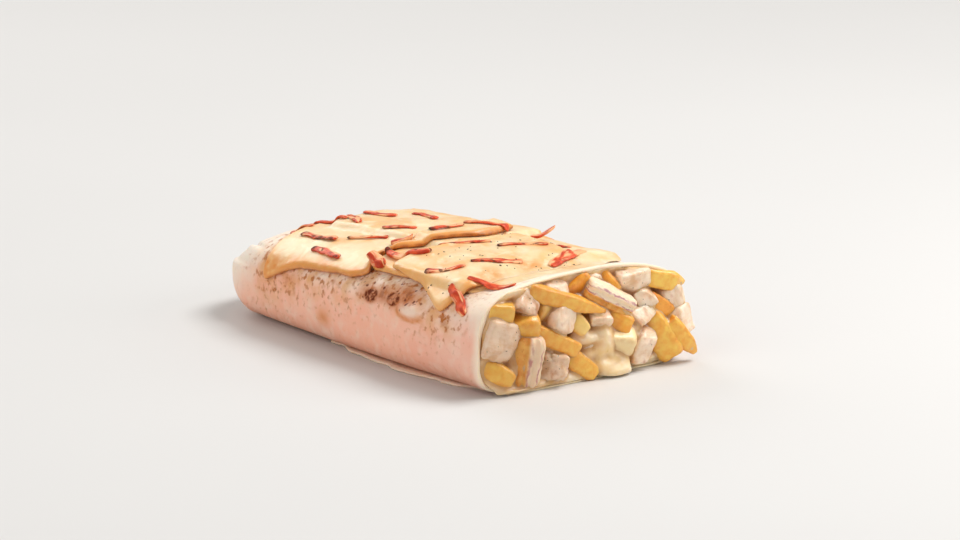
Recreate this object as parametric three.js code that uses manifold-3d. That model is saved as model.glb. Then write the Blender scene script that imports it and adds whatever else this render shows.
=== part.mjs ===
// A french tacos: a wheat tortilla folded into a flat parcel and cut open at one end. It holds fries, chicken
// and breaded ham-and-cheese strips in cheese sauce. Melted cheese slices and bacon strips lie on top.
//
// Frame: millimetres, +Z up. X runs along the parcel from its folded end (-X) to its cut end (+X), Y runs
// across it, and Z is 0 on the table. "Ridge" is the line along the middle of the top. A place on the skin is
// given by x and by t, the distance round the section from the ridge, positive down the front side (-Y).
import * as THREE from "three";
import { mergeVertices } from "three/addons/utils/BufferGeometryUtils.js";
import Module from "manifold-3d";

const wasm = await Module();
wasm.setup();

// ---------------------------------------------------------------- driving sizes

const LENGTH = 201.5; // folded end to cut end
const HALF_WIDTH = 56;
const HEIGHT = 46.6; // of the tortilla, at the cut
const SAG = 2.6; // it lies this much lower where the cheese presses on it
const BARE_RIM = 12; // length near the cut that the cheese doesn't press on
const CUT_X = 97;
const END_X = CUT_X - LENGTH;
const WALL = 2; // thickness of the tortilla
const GAP = 0.3; // between pieces that touch
const END_WIDTH_SHARE = 0.8; // the parcel narrows and flattens towards its folded end
const END_HEIGHT_SHARE = 0.81;
const TAPER_LENGTH = LENGTH / 1.2;
const PLAN_CORNER = { reach: 39, fullness: 3.2 }; // rounding of the folded end, seen from above
const SIDE_BROW = { reach: 36, fullness: 1.5 }; // and seen from the side
const FULLNESS = { front: 3, back: 2.35, bottom: 5 }; // how square the section's corners are
const FOOT = 0.6; // flattened off the underside where it rests
const AROUND = 36; // samples round a section
const SECTION_STEPS = 90; // samples on half a section, for measuring along it
const OUTER_STEPS = 18; // rings along the outside
const INNER_STEPS = 9; // and along the inside
const RING_SPACING = { start: 0.35, power: 1.7 }; // rings lie closer together towards the folded end

const UNDER_LIP = 3; // the front part of the underside runs this much further out of the cut
const LIP_START = { front: 0.66, back: 0.84, fade: 0.1 }; // where it begins round the section
const RIM_WAVE = { height: 0.7, rate: 11, beat: 5 }; // unevenness of the cut edge
const FLAP = { relief: 1.5, reach: 34, fade: 8 }; // folded up over the folded end, and how far it stands out
const FLAP_EDGE = { at: 0.47, wave: 0.05, rate: 9, fade: 0.05 }; // its edge round the section
const FLAP_UNDER = { at: 0.86, fade: 0.1 }; // it is flat again on the underside
const FLAP_LEAN = { reach: 12, back: 8 }; // this near the folded end it stands out backwards

const SEAM = { from: -28, to: CUT_X + UNDER_LIP - 1, widestX: 42, steps: 20 }; // loose edge along the front
const SEAM_WIDTH = { inner: 36, outer: 51.5, lessBehind: 8, lessAhead: 11 }; // it narrows at its ends
const SEAM_THICKNESS = 0.8 * WALL;

const CHEESE_THICKNESS = 2;
const CHEESE_EDGE = 0.45; // height of a slice's outermost line, as a share of its thickness
const CHEESE_SHARES = [0.4, 0.78, 0.97]; // rings of a slice between its middle and its edge
const CORNER_ROUND = 9;
const SLICE_SAMPLES = 29; // round the edge of a slice
const REST = 0.4; // what lies on the skin starts this far above it
const STACK_STEP = CHEESE_THICKNESS + GAP + 0.2; // from one slice to the next
const DRAPE = { before: 3.5, length: 4 }; // a slice climbs another's edge over this length

const BACON_THICKNESS = 1.3;
const BACON_STEPS = 5;
const BACON_TOP = 0.8; // width of a strip's top, as a share of its bottom
const BACON_LIFT = { height: 0.25, rate: 9 }; // waves along a strip
const BACON_WIDTH = { wave: 0.12, rate: 7 };

const FRY_SIDES = 8;
const FRY_END = { start: 0.42, width: 0.75 }; // the blunt end starts at this share of the length
const CHUNK = { smallest: 0.86, spread: 0.26, seed: 101, seedStep: 37 }; // radii of a torn chunk
const FACE = { depth: 6, wave: 0.8, rate: 1.7, shares: [0.8, 0.4] }; // bulging front of the sauce
const ROOM_PAST_CUT = 20; // pieces may stand out of the cut within this length

// ---------------------------------------------------------------- small helpers

const clamp01 = (value) => Math.min(1, Math.max(0, value));
const smooth = (value) => clamp01(value) ** 2 * (3 - 2 * clamp01(value));
const mix = (a, b, share) => a + (b - a) * share;

// 0 at distance 0, 1 from `reach` on, round in between.
function cap(distance, { reach, fullness }) {
  return (1 - (1 - clamp01(distance / reach)) ** fullness) ** (1 / fullness);
}

// The same numbers on every run, from 0 to 1.
function seeded(seed) {
  let state = seed;
  return () => {
    state = (state * 16807) % 2147483647;
    return state / 2147483647;
  };
}

// ---------------------------------------------------------------- the parcel's form

// Half axes of the section at x, drawn in by `inset` on every side.
function section(x, inset = 0) {
  const reached = Math.min(x, CUT_X) - END_X - inset;
  const distance = Math.max(0, (reached * LENGTH) / (LENGTH - inset));
  const taper = Math.sin((Math.min(1, distance / TAPER_LENGTH) * Math.PI) / 2);
  const sag = SAG * (1 - smooth((x - CUT_X + BARE_RIM) / BARE_RIM));
  const height = HEIGHT * mix(END_HEIGHT_SHARE, 1, taper) - sag;
  const belt = height / 2;
  const inWidth = 1 - inset / HALF_WIDTH;
  const inHeight = 1 - (2 * inset) / HEIGHT;
  return {
    belt,
    halfWidth: HALF_WIDTH * mix(END_WIDTH_SHARE, 1, taper) * cap(distance, PLAN_CORNER) * inWidth,
    halfHeight: belt * cap(distance, SIDE_BROW) * inHeight,
  };
}

// A point of the section, by the angle from the ridge, positive towards the front.
function sectionPoint(shape, angle) {
  const sine = Math.sin(angle);
  const cosine = Math.cos(angle);
  const top = sine >= 0 ? FULLNESS.front : FULLNESS.back;
  const fullness = cosine >= 0 ? top : FULLNESS.bottom;
  const y = -shape.halfWidth * Math.sign(sine) * Math.abs(sine) ** (2 / fullness);
  const rise = shape.halfHeight * Math.sign(cosine) * Math.abs(cosine) ** (2 / fullness);
  return { y, z: Math.max(shape.belt + rise, FOOT) - FOOT };
}

// Half a section from the ridge to the middle of the underside, with the distance walked so far. `side` is 1
// for the front half and -1 for the back half.
const measured = new Map();
function halfSection(x, side, inset) {
  const key = `${x.toFixed(3)} ${side} ${inset}`;
  if (!measured.has(key)) {
    const shape = section(x, inset);
    const walk = [{ ...sectionPoint(shape, 0), t: 0 }];
    for (let i = 1; i <= SECTION_STEPS; i++) {
      const next = sectionPoint(shape, (side * Math.PI * i) / SECTION_STEPS);
      const last = walk[i - 1];
      walk.push({ ...next, t: last.t + Math.hypot(next.y - last.y, next.z - last.z) });
    }
    measured.set(key, walk);
  }
  return measured.get(key);
}

function walkTo(walk, distance) {
  let i = 1;
  while (i < walk.length - 1 && walk[i].t < distance) i++;
  const share = clamp01((distance - walk[i - 1].t) / Math.max(1e-9, walk[i].t - walk[i - 1].t));
  return { y: mix(walk[i - 1].y, walk[i].y, share), z: mix(walk[i - 1].z, walk[i].z, share) };
}

// A point of the skin. `around` is 0 on the ridge, 1 at the underside by way of the front and -1 by the back.
function skin(x, around, inset = 0) {
  const walk = halfSection(x, around < 0 ? -1 : 1, inset);
  const { y, z } = walkTo(walk, Math.abs(around) * walk[walk.length - 1].t);
  return new THREE.Vector3(x, y, z);
}

// A point `lift` above the outer skin, by x and t.
function above(x, t, lift) {
  const at = (px, pt) => {
    const { y, z } = walkTo(halfSection(px, pt < 0 ? -1 : 1, 0), Math.abs(pt));
    return new THREE.Vector3(px, y, z);
  };
  const step = 1;
  const alongX = at(x + step, t).sub(at(x - step, t));
  const alongT = at(x, t + step).sub(at(x, t - step));
  const normal = alongX.cross(alongT).normalize();
  return at(x, t).addScaledVector(normal, -lift);
}

// ---------------------------------------------------------------- closed meshes

// Joins rings of equal length into one closed surface, with a fan at each end.
function loft(rings) {
  const count = rings[0].length;
  const positions = rings.flat().flatMap((p) => [p.x, p.y, p.z]);
  const index = [];
  for (let r = 0; r + 1 < rings.length; r++)
    for (let j = 0; j < count; j++) {
      const [a, b] = [r * count + j, r * count + ((j + 1) % count)];
      index.push(a, b, a + count, b, b + count, a + count);
    }
  for (const [ring, flip] of [[0, true], [rings.length - 1, false]]) {
    const centre = positions.length / 3;
    const middle = rings[ring].reduce((sum, p) => sum.add(p), new THREE.Vector3());
    positions.push(...middle.divideScalar(count).toArray());
    for (let j = 0; j < count; j++) {
      const [a, b] = [ring * count + j, ring * count + ((j + 1) % count)];
      index.push(...(flip ? [centre, b, a] : [centre, a, b]));
    }
  }
  const geometry = new THREE.BufferGeometry();
  geometry.setAttribute("position", new THREE.Float32BufferAttribute(positions, 3));
  return geometry.setIndex(index);
}

// A closed geometry as a solid that can be joined and cut. It is turned the right way out if needed.
function solid(geometry) {
  const bare = geometry.clone();
  bare.deleteAttribute("normal");
  bare.deleteAttribute("uv");
  const merged = mergeVertices(bare, 1e-4);
  const triVerts = new Uint32Array(merged.index.array);
  const vertProperties = new Float32Array(merged.attributes.position.array);
  const made = new wasm.Manifold(new wasm.Mesh({ numProp: 3, vertProperties, triVerts }));
  if (made.volume() > 0) return made;
  for (let i = 0; i < triVerts.length; i += 3)
    [triVerts[i + 1], triVerts[i + 2]] = [triVerts[i + 2], triVerts[i + 1]];
  return new wasm.Manifold(new wasm.Mesh({ numProp: 3, vertProperties, triVerts }));
}

// The largest body of a solid, without the scraps that a cut leaves.
function mainBody(made) {
  return made.decompose().reduce((a, b) => (b.volume() > a.volume() ? b : a));
}

function mesh(name, made, material) {
  const { numProp, vertProperties, triVerts } = made.getMesh();
  const positions = new Float32Array((vertProperties.length / numProp) * 3);
  for (let i = 0; i < positions.length / 3; i++)
    positions.set(vertProperties.subarray(i * numProp, i * numProp + 3), i * 3);
  const geometry = new THREE.BufferGeometry();
  geometry.setAttribute("position", new THREE.BufferAttribute(positions, 3));
  geometry.setIndex(new THREE.BufferAttribute(triVerts, 1));
  geometry.computeVertexNormals();
  const named = new THREE.Mesh(geometry, material);
  named.name = name;
  return named;
}

const food = (color, roughness) => new THREE.MeshStandardMaterial({ color, roughness, metalness: 0 });
const MATERIALS = {
  tortilla: food(0xe9cdb4, 0.75),
  cheese: food(0xf5d896, 0.4),
  bacon: food(0xb8483a, 0.45),
  filling: food(0xe0ae55, 0.5),
};

// ---------------------------------------------------------------- tortilla

// Where the cut edge is, round the section.
function rimX(around) {
  const start = around < 0 ? LIP_START.back : LIP_START.front;
  const under = UNDER_LIP * smooth((Math.abs(around) - start) / LIP_START.fade);
  const wave = Math.sin(around * RIM_WAVE.rate) * Math.cos(around * RIM_WAVE.beat);
  return CUT_X + under + RIM_WAVE.height * wave;
}

// How far the flap at the folded end stands out of the skin.
function flapRelief(x, around) {
  const edge = FLAP_EDGE.at + FLAP_EDGE.wave * Math.sin(around * FLAP_EDGE.rate);
  const onSide = smooth((Math.abs(around) - edge) / FLAP_EDGE.fade);
  const offUnder = smooth((FLAP_UNDER.at - Math.abs(around)) / FLAP_UNDER.fade);
  return FLAP.relief * onSide * offUnder * smooth((END_X + FLAP.reach - x) / FLAP.fade);
}

// Rings of the skin from the folded end to the cut edge. `far` moves the cut edge along X. Samples round a
// ring run from the underside, over the ridge, to the underside again.
function skinRings(inset, steps, far, samples = AROUND) {
  const aroundSamples = Array.from({ length: samples }, (_, j) => (2 * j) / samples - 1);
  const rings = [];
  for (let i = 0; i <= steps; i++) {
    const share = ((i + RING_SPACING.start) / (steps + RING_SPACING.start)) ** RING_SPACING.power;
    rings.push(
      aroundSamples.map((around) => {
        const x = mix(END_X + inset, rimX(around) + far, share);
        const point = skin(x, around, inset);
        const belt = new THREE.Vector3(x, 0, section(x).belt);
        const lean = x < END_X + FLAP_LEAN.reach ? -FLAP_LEAN.back : 0;
        const out = point.clone().sub(belt).setX(lean).normalize();
        if (inset === 0) point.addScaledVector(out, flapRelief(x, around));
        return point.setZ(Math.max(0, point.z));
      }),
    );
  }
  return rings;
}

// The tortilla without its loose edge, open at the cut.
function wrap() {
  return solid(loft([...skinRings(0, OUTER_STEPS, 0), ...skinRings(WALL, INNER_STEPS, 0).reverse()]));
}

// The loose edge of the tortilla, which comes out from under the parcel along the front.
function seamLip() {
  const rings = [];
  for (let i = 0; i <= SEAM.steps; i++) {
    const x = mix(SEAM.from, SEAM.to, i / SEAM.steps);
    const ahead = x >= SEAM.widestX;
    const less = ahead ? SEAM_WIDTH.lessAhead : SEAM_WIDTH.lessBehind;
    const share = (x - SEAM.widestX) / ((ahead ? SEAM.to : SEAM.from) - SEAM.widestX);
    const ragged = 0.6 * Math.sin(x / 5) + 0.4 * Math.sin(x / 2.7 + 1);
    const outer = SEAM_WIDTH.outer + ragged - less * share ** 2;
    const { inner } = SEAM_WIDTH;
    const corners = [[inner, 0], [outer, 0], [outer, SEAM_THICKNESS], [inner, SEAM_THICKNESS]];
    rings.push(corners.map(([y, z]) => new THREE.Vector3(x, -y, z)));
  }
  return solid(loft(rings));
}

// ---------------------------------------------------------------- cheese slices

// Corners of each slice as [x, t], in order round it, from the lowest slice to the topmost.
const SLICES = Object.entries({
  back: [[-52, -60], [20, -56], [31, 18], [-50, 20]],
  right: [[12, 47], [84, 46], [96, 24], [94, -4], [78, -37], [8, -36]],
  left: [[-61, 56], [17, 51], [9, 34], [17, 25], [30, 0], [26, -22], [-64, -27]],
  front: [[28, 46], [52, 49], [73, 60], [80, 42], [82, -12], [33, -16]],
}).map(([place, corners]) => {
  const ring = roundedRing(corners.map(([x, t]) => new THREE.Vector2(x, t)));
  const middle = ring.reduce((sum, p) => sum.add(p), new THREE.Vector2()).divideScalar(ring.length);
  return { name: `cheese_slice_${place}`, ring, middle };
});

// Evenly spaced points round a polygon whose corners are rounded off.
function roundedRing(corners) {
  const path = new THREE.Path();
  corners.forEach((corner, i) => {
    const [before, after] = [corners.at(i - 1), corners[(i + 1) % corners.length]].map((other) =>
      corner.clone().lerp(other, Math.min(0.5, CORNER_ROUND / corner.distanceTo(other))),
    );
    if (i === 0) path.moveTo(before.x, before.y);
    else path.lineTo(before.x, before.y);
    path.quadraticCurveTo(corner.x, corner.y, after.x, after.y);
  });
  path.closePath();
  return path.getSpacedPoints(SLICE_SAMPLES).slice(0, -1);
}

// Distance inside (positive) or outside (negative) the outline of a slice.
function insideSlice({ ring }, x, t) {
  let nearest = Infinity;
  let within = false;
  ring.forEach((a, i) => {
    const b = ring[(i + 1) % ring.length];
    const [dx, dt] = [b.x - a.x, b.y - a.y];
    const share = clamp01(((x - a.x) * dx + (t - a.y) * dt) / (dx * dx + dt * dt));
    nearest = Math.min(nearest, Math.hypot(x - a.x - dx * share, t - a.y - dt * share));
    if (a.y > t !== b.y > t && x < a.x + (dx * (t - a.y)) / dt) within = !within;
  });
  return within ? nearest : -nearest;
}

// Height above the skin at which something laid on the first `count` slices rests.
function stackHeight(x, t, count = SLICES.length) {
  return SLICES.slice(0, count).reduce(
    (height, slice) => height + STACK_STEP * smooth((insideSlice(slice, x, t) + DRAPE.before) / DRAPE.length),
    REST,
  );
}

// A slice draped over what lies under it. `grow` fattens it on every side.
function cheeseSlice(order, grow = 0) {
  const { ring, middle } = SLICES[order];
  const sheet = (share, lift) =>
    ring.map((edge) => {
      const reach = edge.distanceTo(middle);
      const { x, y: t } = middle.clone().lerp(edge, share * (1 + grow / reach));
      return above(x, t, stackHeight(x, t, order) + lift);
    });
  const [low, high] = [-grow, CHEESE_THICKNESS + grow];
  const rings = [
    ...CHEESE_SHARES.map((share) => sheet(share, low)),
    sheet(1, mix(low, high, CHEESE_EDGE)),
    ...CHEESE_SHARES.map((share) => sheet(share, high)).reverse(),
  ];
  return solid(loft(rings));
}

// ---------------------------------------------------------------- bacon

// Each strip as its two ends [x, t], its width, a sideways bend and how far its second end curls up.
const BACON = [
  { from: [-61, 35], to: [-54, 30], width: 3, bend: 0 },
  { from: [-61, 24], to: [-43, 15], width: 3, bend: -1 },
  { from: [-48, 11], to: [-32, 18], width: 3.4, bend: -1 },
  { from: [-50, 37], to: [-23, 34], width: 3, bend: 1 },
  { from: [-50, 1], to: [-31, -1], width: 3, bend: 1.5 },
  { from: [-31, -11], to: [-11, -7], width: 3, bend: -1 },
  { from: [-26, 45], to: [-3, 47], width: 3, bend: -1 },
  { from: [-15, 18], to: [-2, 10], width: 3, bend: 1 },
  { from: [-22, 31], to: [-3, 21], width: 2.4, bend: 1 },
  { from: [11, -5], to: [28, -15], width: 3, bend: -1 },
  { from: [12, 14], to: [16, -1], width: 2.8, bend: 1 },
  { from: [4, 28], to: [10, 21], width: 4, bend: 0, thick: 2.4 },
  { from: [12, 36], to: [37, 32], width: 3.6, bend: 3, thick: 2 },
  { from: [14, 44], to: [23, 46], width: 4.6, bend: 0, thick: 3.6 },
  { from: [27, 23], to: [42, 5], width: 2.4, bend: 1 },
  { from: [51, 45], to: [64, 35], width: 3, bend: 2.5 },
  { from: [71, 49], to: [86, 56], width: 4, bend: -1, thick: 2 },
  { from: [50, 8], to: [61, -10], width: 2.6, bend: -1 },
  { from: [33, -23], to: [38, -31], width: 2.6, bend: 0, curl: 5.5 },
  { from: [55, -16], to: [59, -24], width: 2.6, bend: 1 },
  { from: [61, 30], to: [73, 13], width: 3, bend: 2 },
  { from: [74, 41], to: [92, 32], width: 3.6, bend: 1 },
  { from: [79, 0], to: [69, -22], width: 4.4, bend: 0 },
  { from: [-45, -40], to: [-34, -52], width: 3, bend: 2 },
  { from: [-25, -40], to: [-20, -56], width: 3.2, bend: -1 },
  { from: [-11, -46], to: [6, -54], width: 3, bend: 1 },
  { from: [-8, -36], to: [5, -41], width: 3, bend: 1.5 },
  { from: [10, -44], to: [20, -51], width: 2.8, bend: -1 },
];

// A strip that follows whatever lies under it.
function baconStrip({ from, to, width, bend, curl = 0, thick = BACON_THICKNESS }, grow = 0) {
  const [dx, dt] = [to[0] - from[0], to[1] - from[1]];
  const length = Math.hypot(dx, dt);
  const [sideX, sideT] = [-dt / length, dx / length];
  const rings = [];
  for (let i = 0; i <= BACON_STEPS; i++) {
    const share = mix(-grow / length, 1 + grow / length, i / BACON_STEPS);
    const bow = bend * Math.sin(Math.PI * share);
    const wave = 1 + Math.sin(share * BACON_LIFT.rate + from[0]);
    const rise = curl * share ** 2 + BACON_LIFT.height * wave;
    const narrowing = BACON_WIDTH.wave * (1 - Math.sin(share * BACON_WIDTH.rate + from[1]));
    const half = (width / 2) * (1 - narrowing) + grow;
    const place = (side, lift) => {
      const x = from[0] + dx * share + sideX * (bow + side * half);
      const t = from[1] + dt * share + sideT * (bow + side * half);
      return above(x, t, stackHeight(x, t) + lift + rise);
    };
    const high = thick + grow;
    rings.push([place(-1, -grow), place(1, -grow), place(BACON_TOP, high), place(-BACON_TOP, high)]);
  }
  return solid(loft(rings));
}

// ---------------------------------------------------------------- filling

// The pieces that show in the cut. y and z are the middle of a piece and `out` is how far that stands out of
// the cut. `turn` is the long axis's angle in the cut and `tip` its angle out of the cut.
const FRIES = [
  { y: -44, z: 34, out: -1, length: 17, width: 8, turn: -14, tip: 25 },
  { y: -12, z: 35, out: 1, length: 38, width: 7, turn: -22, tip: 9 },
  { y: -4, z: 39, out: -3, length: 16, width: 8, turn: 60, tip: 10 },
  { y: 15, z: 37, out: -2, length: 15, width: 7, turn: -70, tip: 30 },
  { y: 42, z: 36, out: 0, length: 19, width: 8, turn: -8, tip: 10 },
  { y: 39, z: 25, out: -1, length: 17, width: 7, turn: -38, tip: 5 },
  { y: 40, z: 13, out: 0, length: 24, width: 10, turn: -62, tip: 12 },
  { y: 50, z: 9, out: 3, length: 17, width: 6, turn: -52, tip: 8 },
  { y: 16, z: 21, out: 0, length: 15, width: 9, turn: -25, tip: 30 },
  { y: -5, z: 25, out: 1, length: 15, width: 8, turn: -55, tip: 25 },
  { y: -22, z: 31, out: -2, length: 15, width: 8, turn: 80, tip: 25 },
  { y: -33, z: 28, out: 0, length: 14, width: 9, turn: 8, tip: 50 },
  { y: -17, z: 20, out: 2, length: 28, width: 8, turn: -27, tip: 8 },
  { y: -4, z: 8, out: 1, length: 22, width: 8, turn: -38, tip: 10 },
  { y: -46, z: 11, out: -1, length: 17, width: 9, turn: -28, tip: 35 },
];
const CHICKEN = [
  { y: -31, z: 36, out: 0, size: [13, 12, 10] },
  { y: -15, z: 39, out: -4, size: [13, 12, 8] },
  { y: 6, z: 40, out: -4, size: [12, 10, 7] },
  { y: 27, z: 37, out: -2, size: [17, 12, 11] },
  { y: 32, z: 29, out: 0, size: [10, 10, 9] },
  { y: 43, z: 29, out: -5, size: [13, 10, 13] },
  { y: 29, z: 22, out: 0, size: [13, 12, 10] },
  { y: 49, z: 17, out: 2, size: [13, 11, 14] },
  { y: 30, z: 10, out: 1, size: [13, 12, 15] },
  { y: 5, z: 24, out: 2, size: [12, 11, 8] },
  { y: -14, z: 28, out: 2, size: [13, 12, 12] },
  { y: -45, z: 23, out: 0, size: [18, 15, 17] },
  { y: -18, z: 8, out: 1, size: [15, 13, 12] },
  { y: 15, z: 13, out: 2, size: [16, 13, 13] },
];
const BREADED = [
  { y: 12, z: 32, out: 2, length: 28, width: 10, turn: -24, tip: 4 },
  { y: -32, z: 13, out: 1, length: 20, width: 11, turn: 86, tip: 6 },
];
const SAUCE_DRIP = { y: 12, z: 4, out: 3, size: [22, 9, 9] };

// Places a geometry, whose long axis is X, in the cut.
function inCut(geometry, { y, z, out, turn, tip }) {
  const [across, outward] = [turn, tip].map(THREE.MathUtils.degToRad);
  const along = new THREE.Vector3(
    Math.sin(outward),
    Math.cos(across) * Math.cos(outward),
    Math.sin(across) * Math.cos(outward),
  );
  const pose = new THREE.Quaternion().setFromUnitVectors(new THREE.Vector3(1, 0, 0), along);
  const place = new THREE.Vector3(CUT_X + out, y, z);
  return geometry.applyMatrix4(new THREE.Matrix4().compose(place, pose, new THREE.Vector3(1, 1, 1)));
}

// A square-cut fry with soft edges and blunt ends.
function fry(piece) {
  const rings = [-0.5, -FRY_END.start, FRY_END.start, 0.5].map((share) => {
    const half = (piece.width / 2) * (Math.abs(share) === 0.5 ? FRY_END.width : 1);
    return Array.from({ length: FRY_SIDES }, (_, j) => {
      const angle = ((j + 0.5) * 2 * Math.PI) / FRY_SIDES;
      const corner = half / Math.max(Math.abs(Math.cos(angle)), Math.abs(Math.sin(angle)));
      return new THREE.Vector3(share * piece.length, Math.cos(angle) * corner, Math.sin(angle) * corner);
    });
  });
  return solid(inCut(loft(rings), piece));
}

// A torn chunk of chicken: a ball with knocked-off sides.
function chicken(piece, order) {
  const random = seeded(CHUNK.seed + order * CHUNK.seedStep);
  const loose = new THREE.IcosahedronGeometry(1, 1).deleteAttribute("normal").deleteAttribute("uv");
  const ball = mergeVertices(loose, 1e-3);
  const point = new THREE.Vector3();
  const position = ball.attributes.position;
  const [width, depth, height] = piece.size;
  const halves = new THREE.Vector3(depth, width, height).divideScalar(2);
  for (let i = 0; i < position.count; i++) {
    const radius = CHUNK.smallest + CHUNK.spread * random();
    point.fromBufferAttribute(position, i).normalize().multiplyScalar(radius).multiply(halves);
    position.setXYZ(i, ...point);
  }
  return solid(ball.translate(CUT_X + piece.out, piece.y, piece.z));
}

// The sauce-bound mass that runs the whole length of the parcel, with a bulging, uneven face.
function core() {
  const rings = skinRings(WALL + 2 * GAP, INNER_STEPS, -FACE.depth - UNDER_LIP, AROUND / 2);
  const rim = rings[rings.length - 1];
  const { belt } = section(CUT_X);
  for (const share of FACE.shares)
    rings.push(
      rim.map((p, j) => {
        const back = FACE.depth * share ** 2 - FACE.wave * Math.sin(j * FACE.rate);
        return new THREE.Vector3(CUT_X - back, p.y * share, mix(belt, p.z, share));
      }),
    );
  return solid(loft(rings));
}

// The room inside the tortilla, carried on past the cut.
function room() {
  const rings = skinRings(WALL + GAP, INNER_STEPS, 0);
  const farRing = rings[rings.length - 1].map((p) => p.clone().setX(CUT_X + ROOM_PAST_CUT));
  return solid(loft([...rings, farRing]));
}

function filling() {
  const pieces = [...FRIES.map(fry), ...CHICKEN.map(chicken), ...BREADED.map(fry), chicken(SAUCE_DRIP, 0)];
  return mainBody(pieces.reduce((sum, piece) => sum.add(piece), core()).intersect(room()));
}

// ---------------------------------------------------------------- assembly

const tacos = new THREE.Group();
tacos.name = "french_tacos";

const tortilla = mainBody(wrap().add(seamLip()));
tacos.add(mesh("tortilla", tortilla, MATERIALS.tortilla));

// Each topping is trimmed by slightly fattened copies of what it lies on, which leaves the gap.
const fattened = SLICES.map((slice, order) => cheeseSlice(order, GAP));
const under = [solid(loft(skinRings(-GAP, OUTER_STEPS, 0)))];
tacos.add(mesh("filling", filling(), MATERIALS.filling));
SLICES.forEach((slice, order) => {
  const trimmed = under.reduce((rest, below) => rest.subtract(below), cheeseSlice(order));
  tacos.add(mesh(slice.name, mainBody(trimmed), MATERIALS.cheese));
  under.push(fattened[order]);
});
BACON.forEach((strip, order) => {
  const trimmed = under.reduce((rest, below) => rest.subtract(below), baconStrip(strip));
  const name = `bacon_strip_${String(order + 1).padStart(2, "0")}`;
  tacos.add(mesh(name, mainBody(trimmed), MATERIALS.bacon));
  under.push(baconStrip(strip, GAP));
});

export default tacos;
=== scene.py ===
"""Dresses the french tacos: a folded tortilla, melted cheese and bacon on top, and the filling in its cut.

Sizes are in millimetres here and become metres when a mesh is made. X runs along the parcel to its cut end,
Y across it, and Z is 0 on the table. A place on the skin is given by x and by t, the distance round the
section from the ridge along the top, positive down the front side (-Y). `around` is t as a share, -1 to 1.
"""
import logging
import math
from dataclasses import dataclass, field
from enum import Enum

import bmesh
import bpy
import numpy as np
from mathutils import Matrix, Vector, kdtree


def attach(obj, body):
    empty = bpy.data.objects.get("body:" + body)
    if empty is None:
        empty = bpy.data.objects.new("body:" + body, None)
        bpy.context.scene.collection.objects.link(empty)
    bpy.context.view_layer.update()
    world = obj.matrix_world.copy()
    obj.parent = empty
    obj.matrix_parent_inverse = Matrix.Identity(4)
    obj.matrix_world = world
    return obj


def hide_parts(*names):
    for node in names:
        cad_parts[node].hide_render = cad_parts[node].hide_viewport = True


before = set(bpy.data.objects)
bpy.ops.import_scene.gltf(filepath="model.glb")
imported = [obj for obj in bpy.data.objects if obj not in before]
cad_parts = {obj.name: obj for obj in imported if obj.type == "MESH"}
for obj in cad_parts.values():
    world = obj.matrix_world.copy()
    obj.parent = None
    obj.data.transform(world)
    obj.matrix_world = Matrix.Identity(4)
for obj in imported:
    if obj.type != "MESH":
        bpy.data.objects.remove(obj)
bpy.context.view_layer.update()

MM = 0.001
Array = np.ndarray
Socket = bpy.types.NodeSocket
log = logging.getLogger("tacos")


class Slot(Enum):
    """The record's material slots."""

    TORTILLA = "tortilla"
    FILLING = "filling"
    CHEESE = "cheese"
    BACON = "bacon"


# ---- numbers


def mix(low: float | Array, high: float | Array, share: float | Array) -> float | Array:
    """Gives the value at `share` of the way from low to high."""
    return low + (high - low) * share


def smooth(value: float | Array) -> Array:
    """Eases a value from 0 to 1, flat at both ends."""
    value = np.clip(value, 0, 1)
    return value * value * (3 - 2 * value)


def cap(distance: Array, reach: float, fullness: float) -> Array:
    """Rounds off an end: 0 at distance 0 and 1 from `reach` on."""
    return (1 - (1 - np.clip(distance / reach, 0, 1)) ** fullness) ** (1 / fullness)


def unit(vectors: Array) -> Array:
    """Scales vectors, given along the last axis, to length 1."""
    return vectors / np.maximum(1e-9, np.linalg.norm(vectors, axis=-1, keepdims=True))


class Lumps:
    """Smooth noise between about -1 and 1 that is the same on every run."""

    SIDE = 32
    SHIFT = 7.31

    def __init__(self, seed: int) -> None:
        """Draws the noise's table.

        Args:
            seed: picks the table.
        """
        self.table = np.random.default_rng(seed).uniform(-1, 1, (self.SIDE,) * 3)

    def at(self, points: Array, size: float, octaves: int = 1) -> Array:
        """Reads the noise.

        Args:
            points: places, xyz along the last axis.
            size: width of a lump.
            octaves: layers, each half as large and half as strong as the last.

        Returns:
            One value for each place.
        """
        total = np.zeros(points.shape[:-1])
        for octave in range(octaves):
            place = points * 2**octave / size + self.SHIFT * (octave + 1)
            cell = np.floor(place).astype(int)
            inside = smooth(place - cell)
            for corner in np.ndindex(2, 2, 2):
                index = np.moveaxis((cell + corner) % self.SIDE, -1, 0)
                weight = np.prod(np.where(corner, inside, 1 - inside), axis=-1)
                total += weight * self.table[tuple(index)] / 2**octave
        return total


# ---- meshes


def loft(rings: Array) -> tuple[Array, list[list[int]]]:
    """Joins closed rings of points into one closed surface, with a fan at each end.

    Args:
        rings: points as (ring, place round it, xyz).

    Returns:
        The points, the two ends' middles last, and the faces.
    """
    count, around = rings.shape[:2]
    index = np.arange(count * around).reshape(count, around)
    low, high = index[:-1], index[1:]
    quads = np.stack([low, np.roll(low, -1, 1), np.roll(high, -1, 1), high], axis=-1)
    faces = quads.reshape(-1, 4).tolist()
    first, last = count * around, count * around + 1
    faces += [[first, b, a] for a, b in zip(index[0], np.roll(index[0], -1))]
    faces += [[last, a, b] for a, b in zip(index[-1], np.roll(index[-1], -1))]
    ends = [rings[0].mean(axis=0), rings[-1].mean(axis=0)]
    return np.concatenate([rings.reshape(-1, 3), ends]), faces


def ring_values(values: Array) -> Array:
    """Flattens one value for each ring point as loft() orders them, with a mean for each end."""
    return np.concatenate([values.reshape(-1), [values[0].mean(), values[-1].mean()]])


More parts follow.
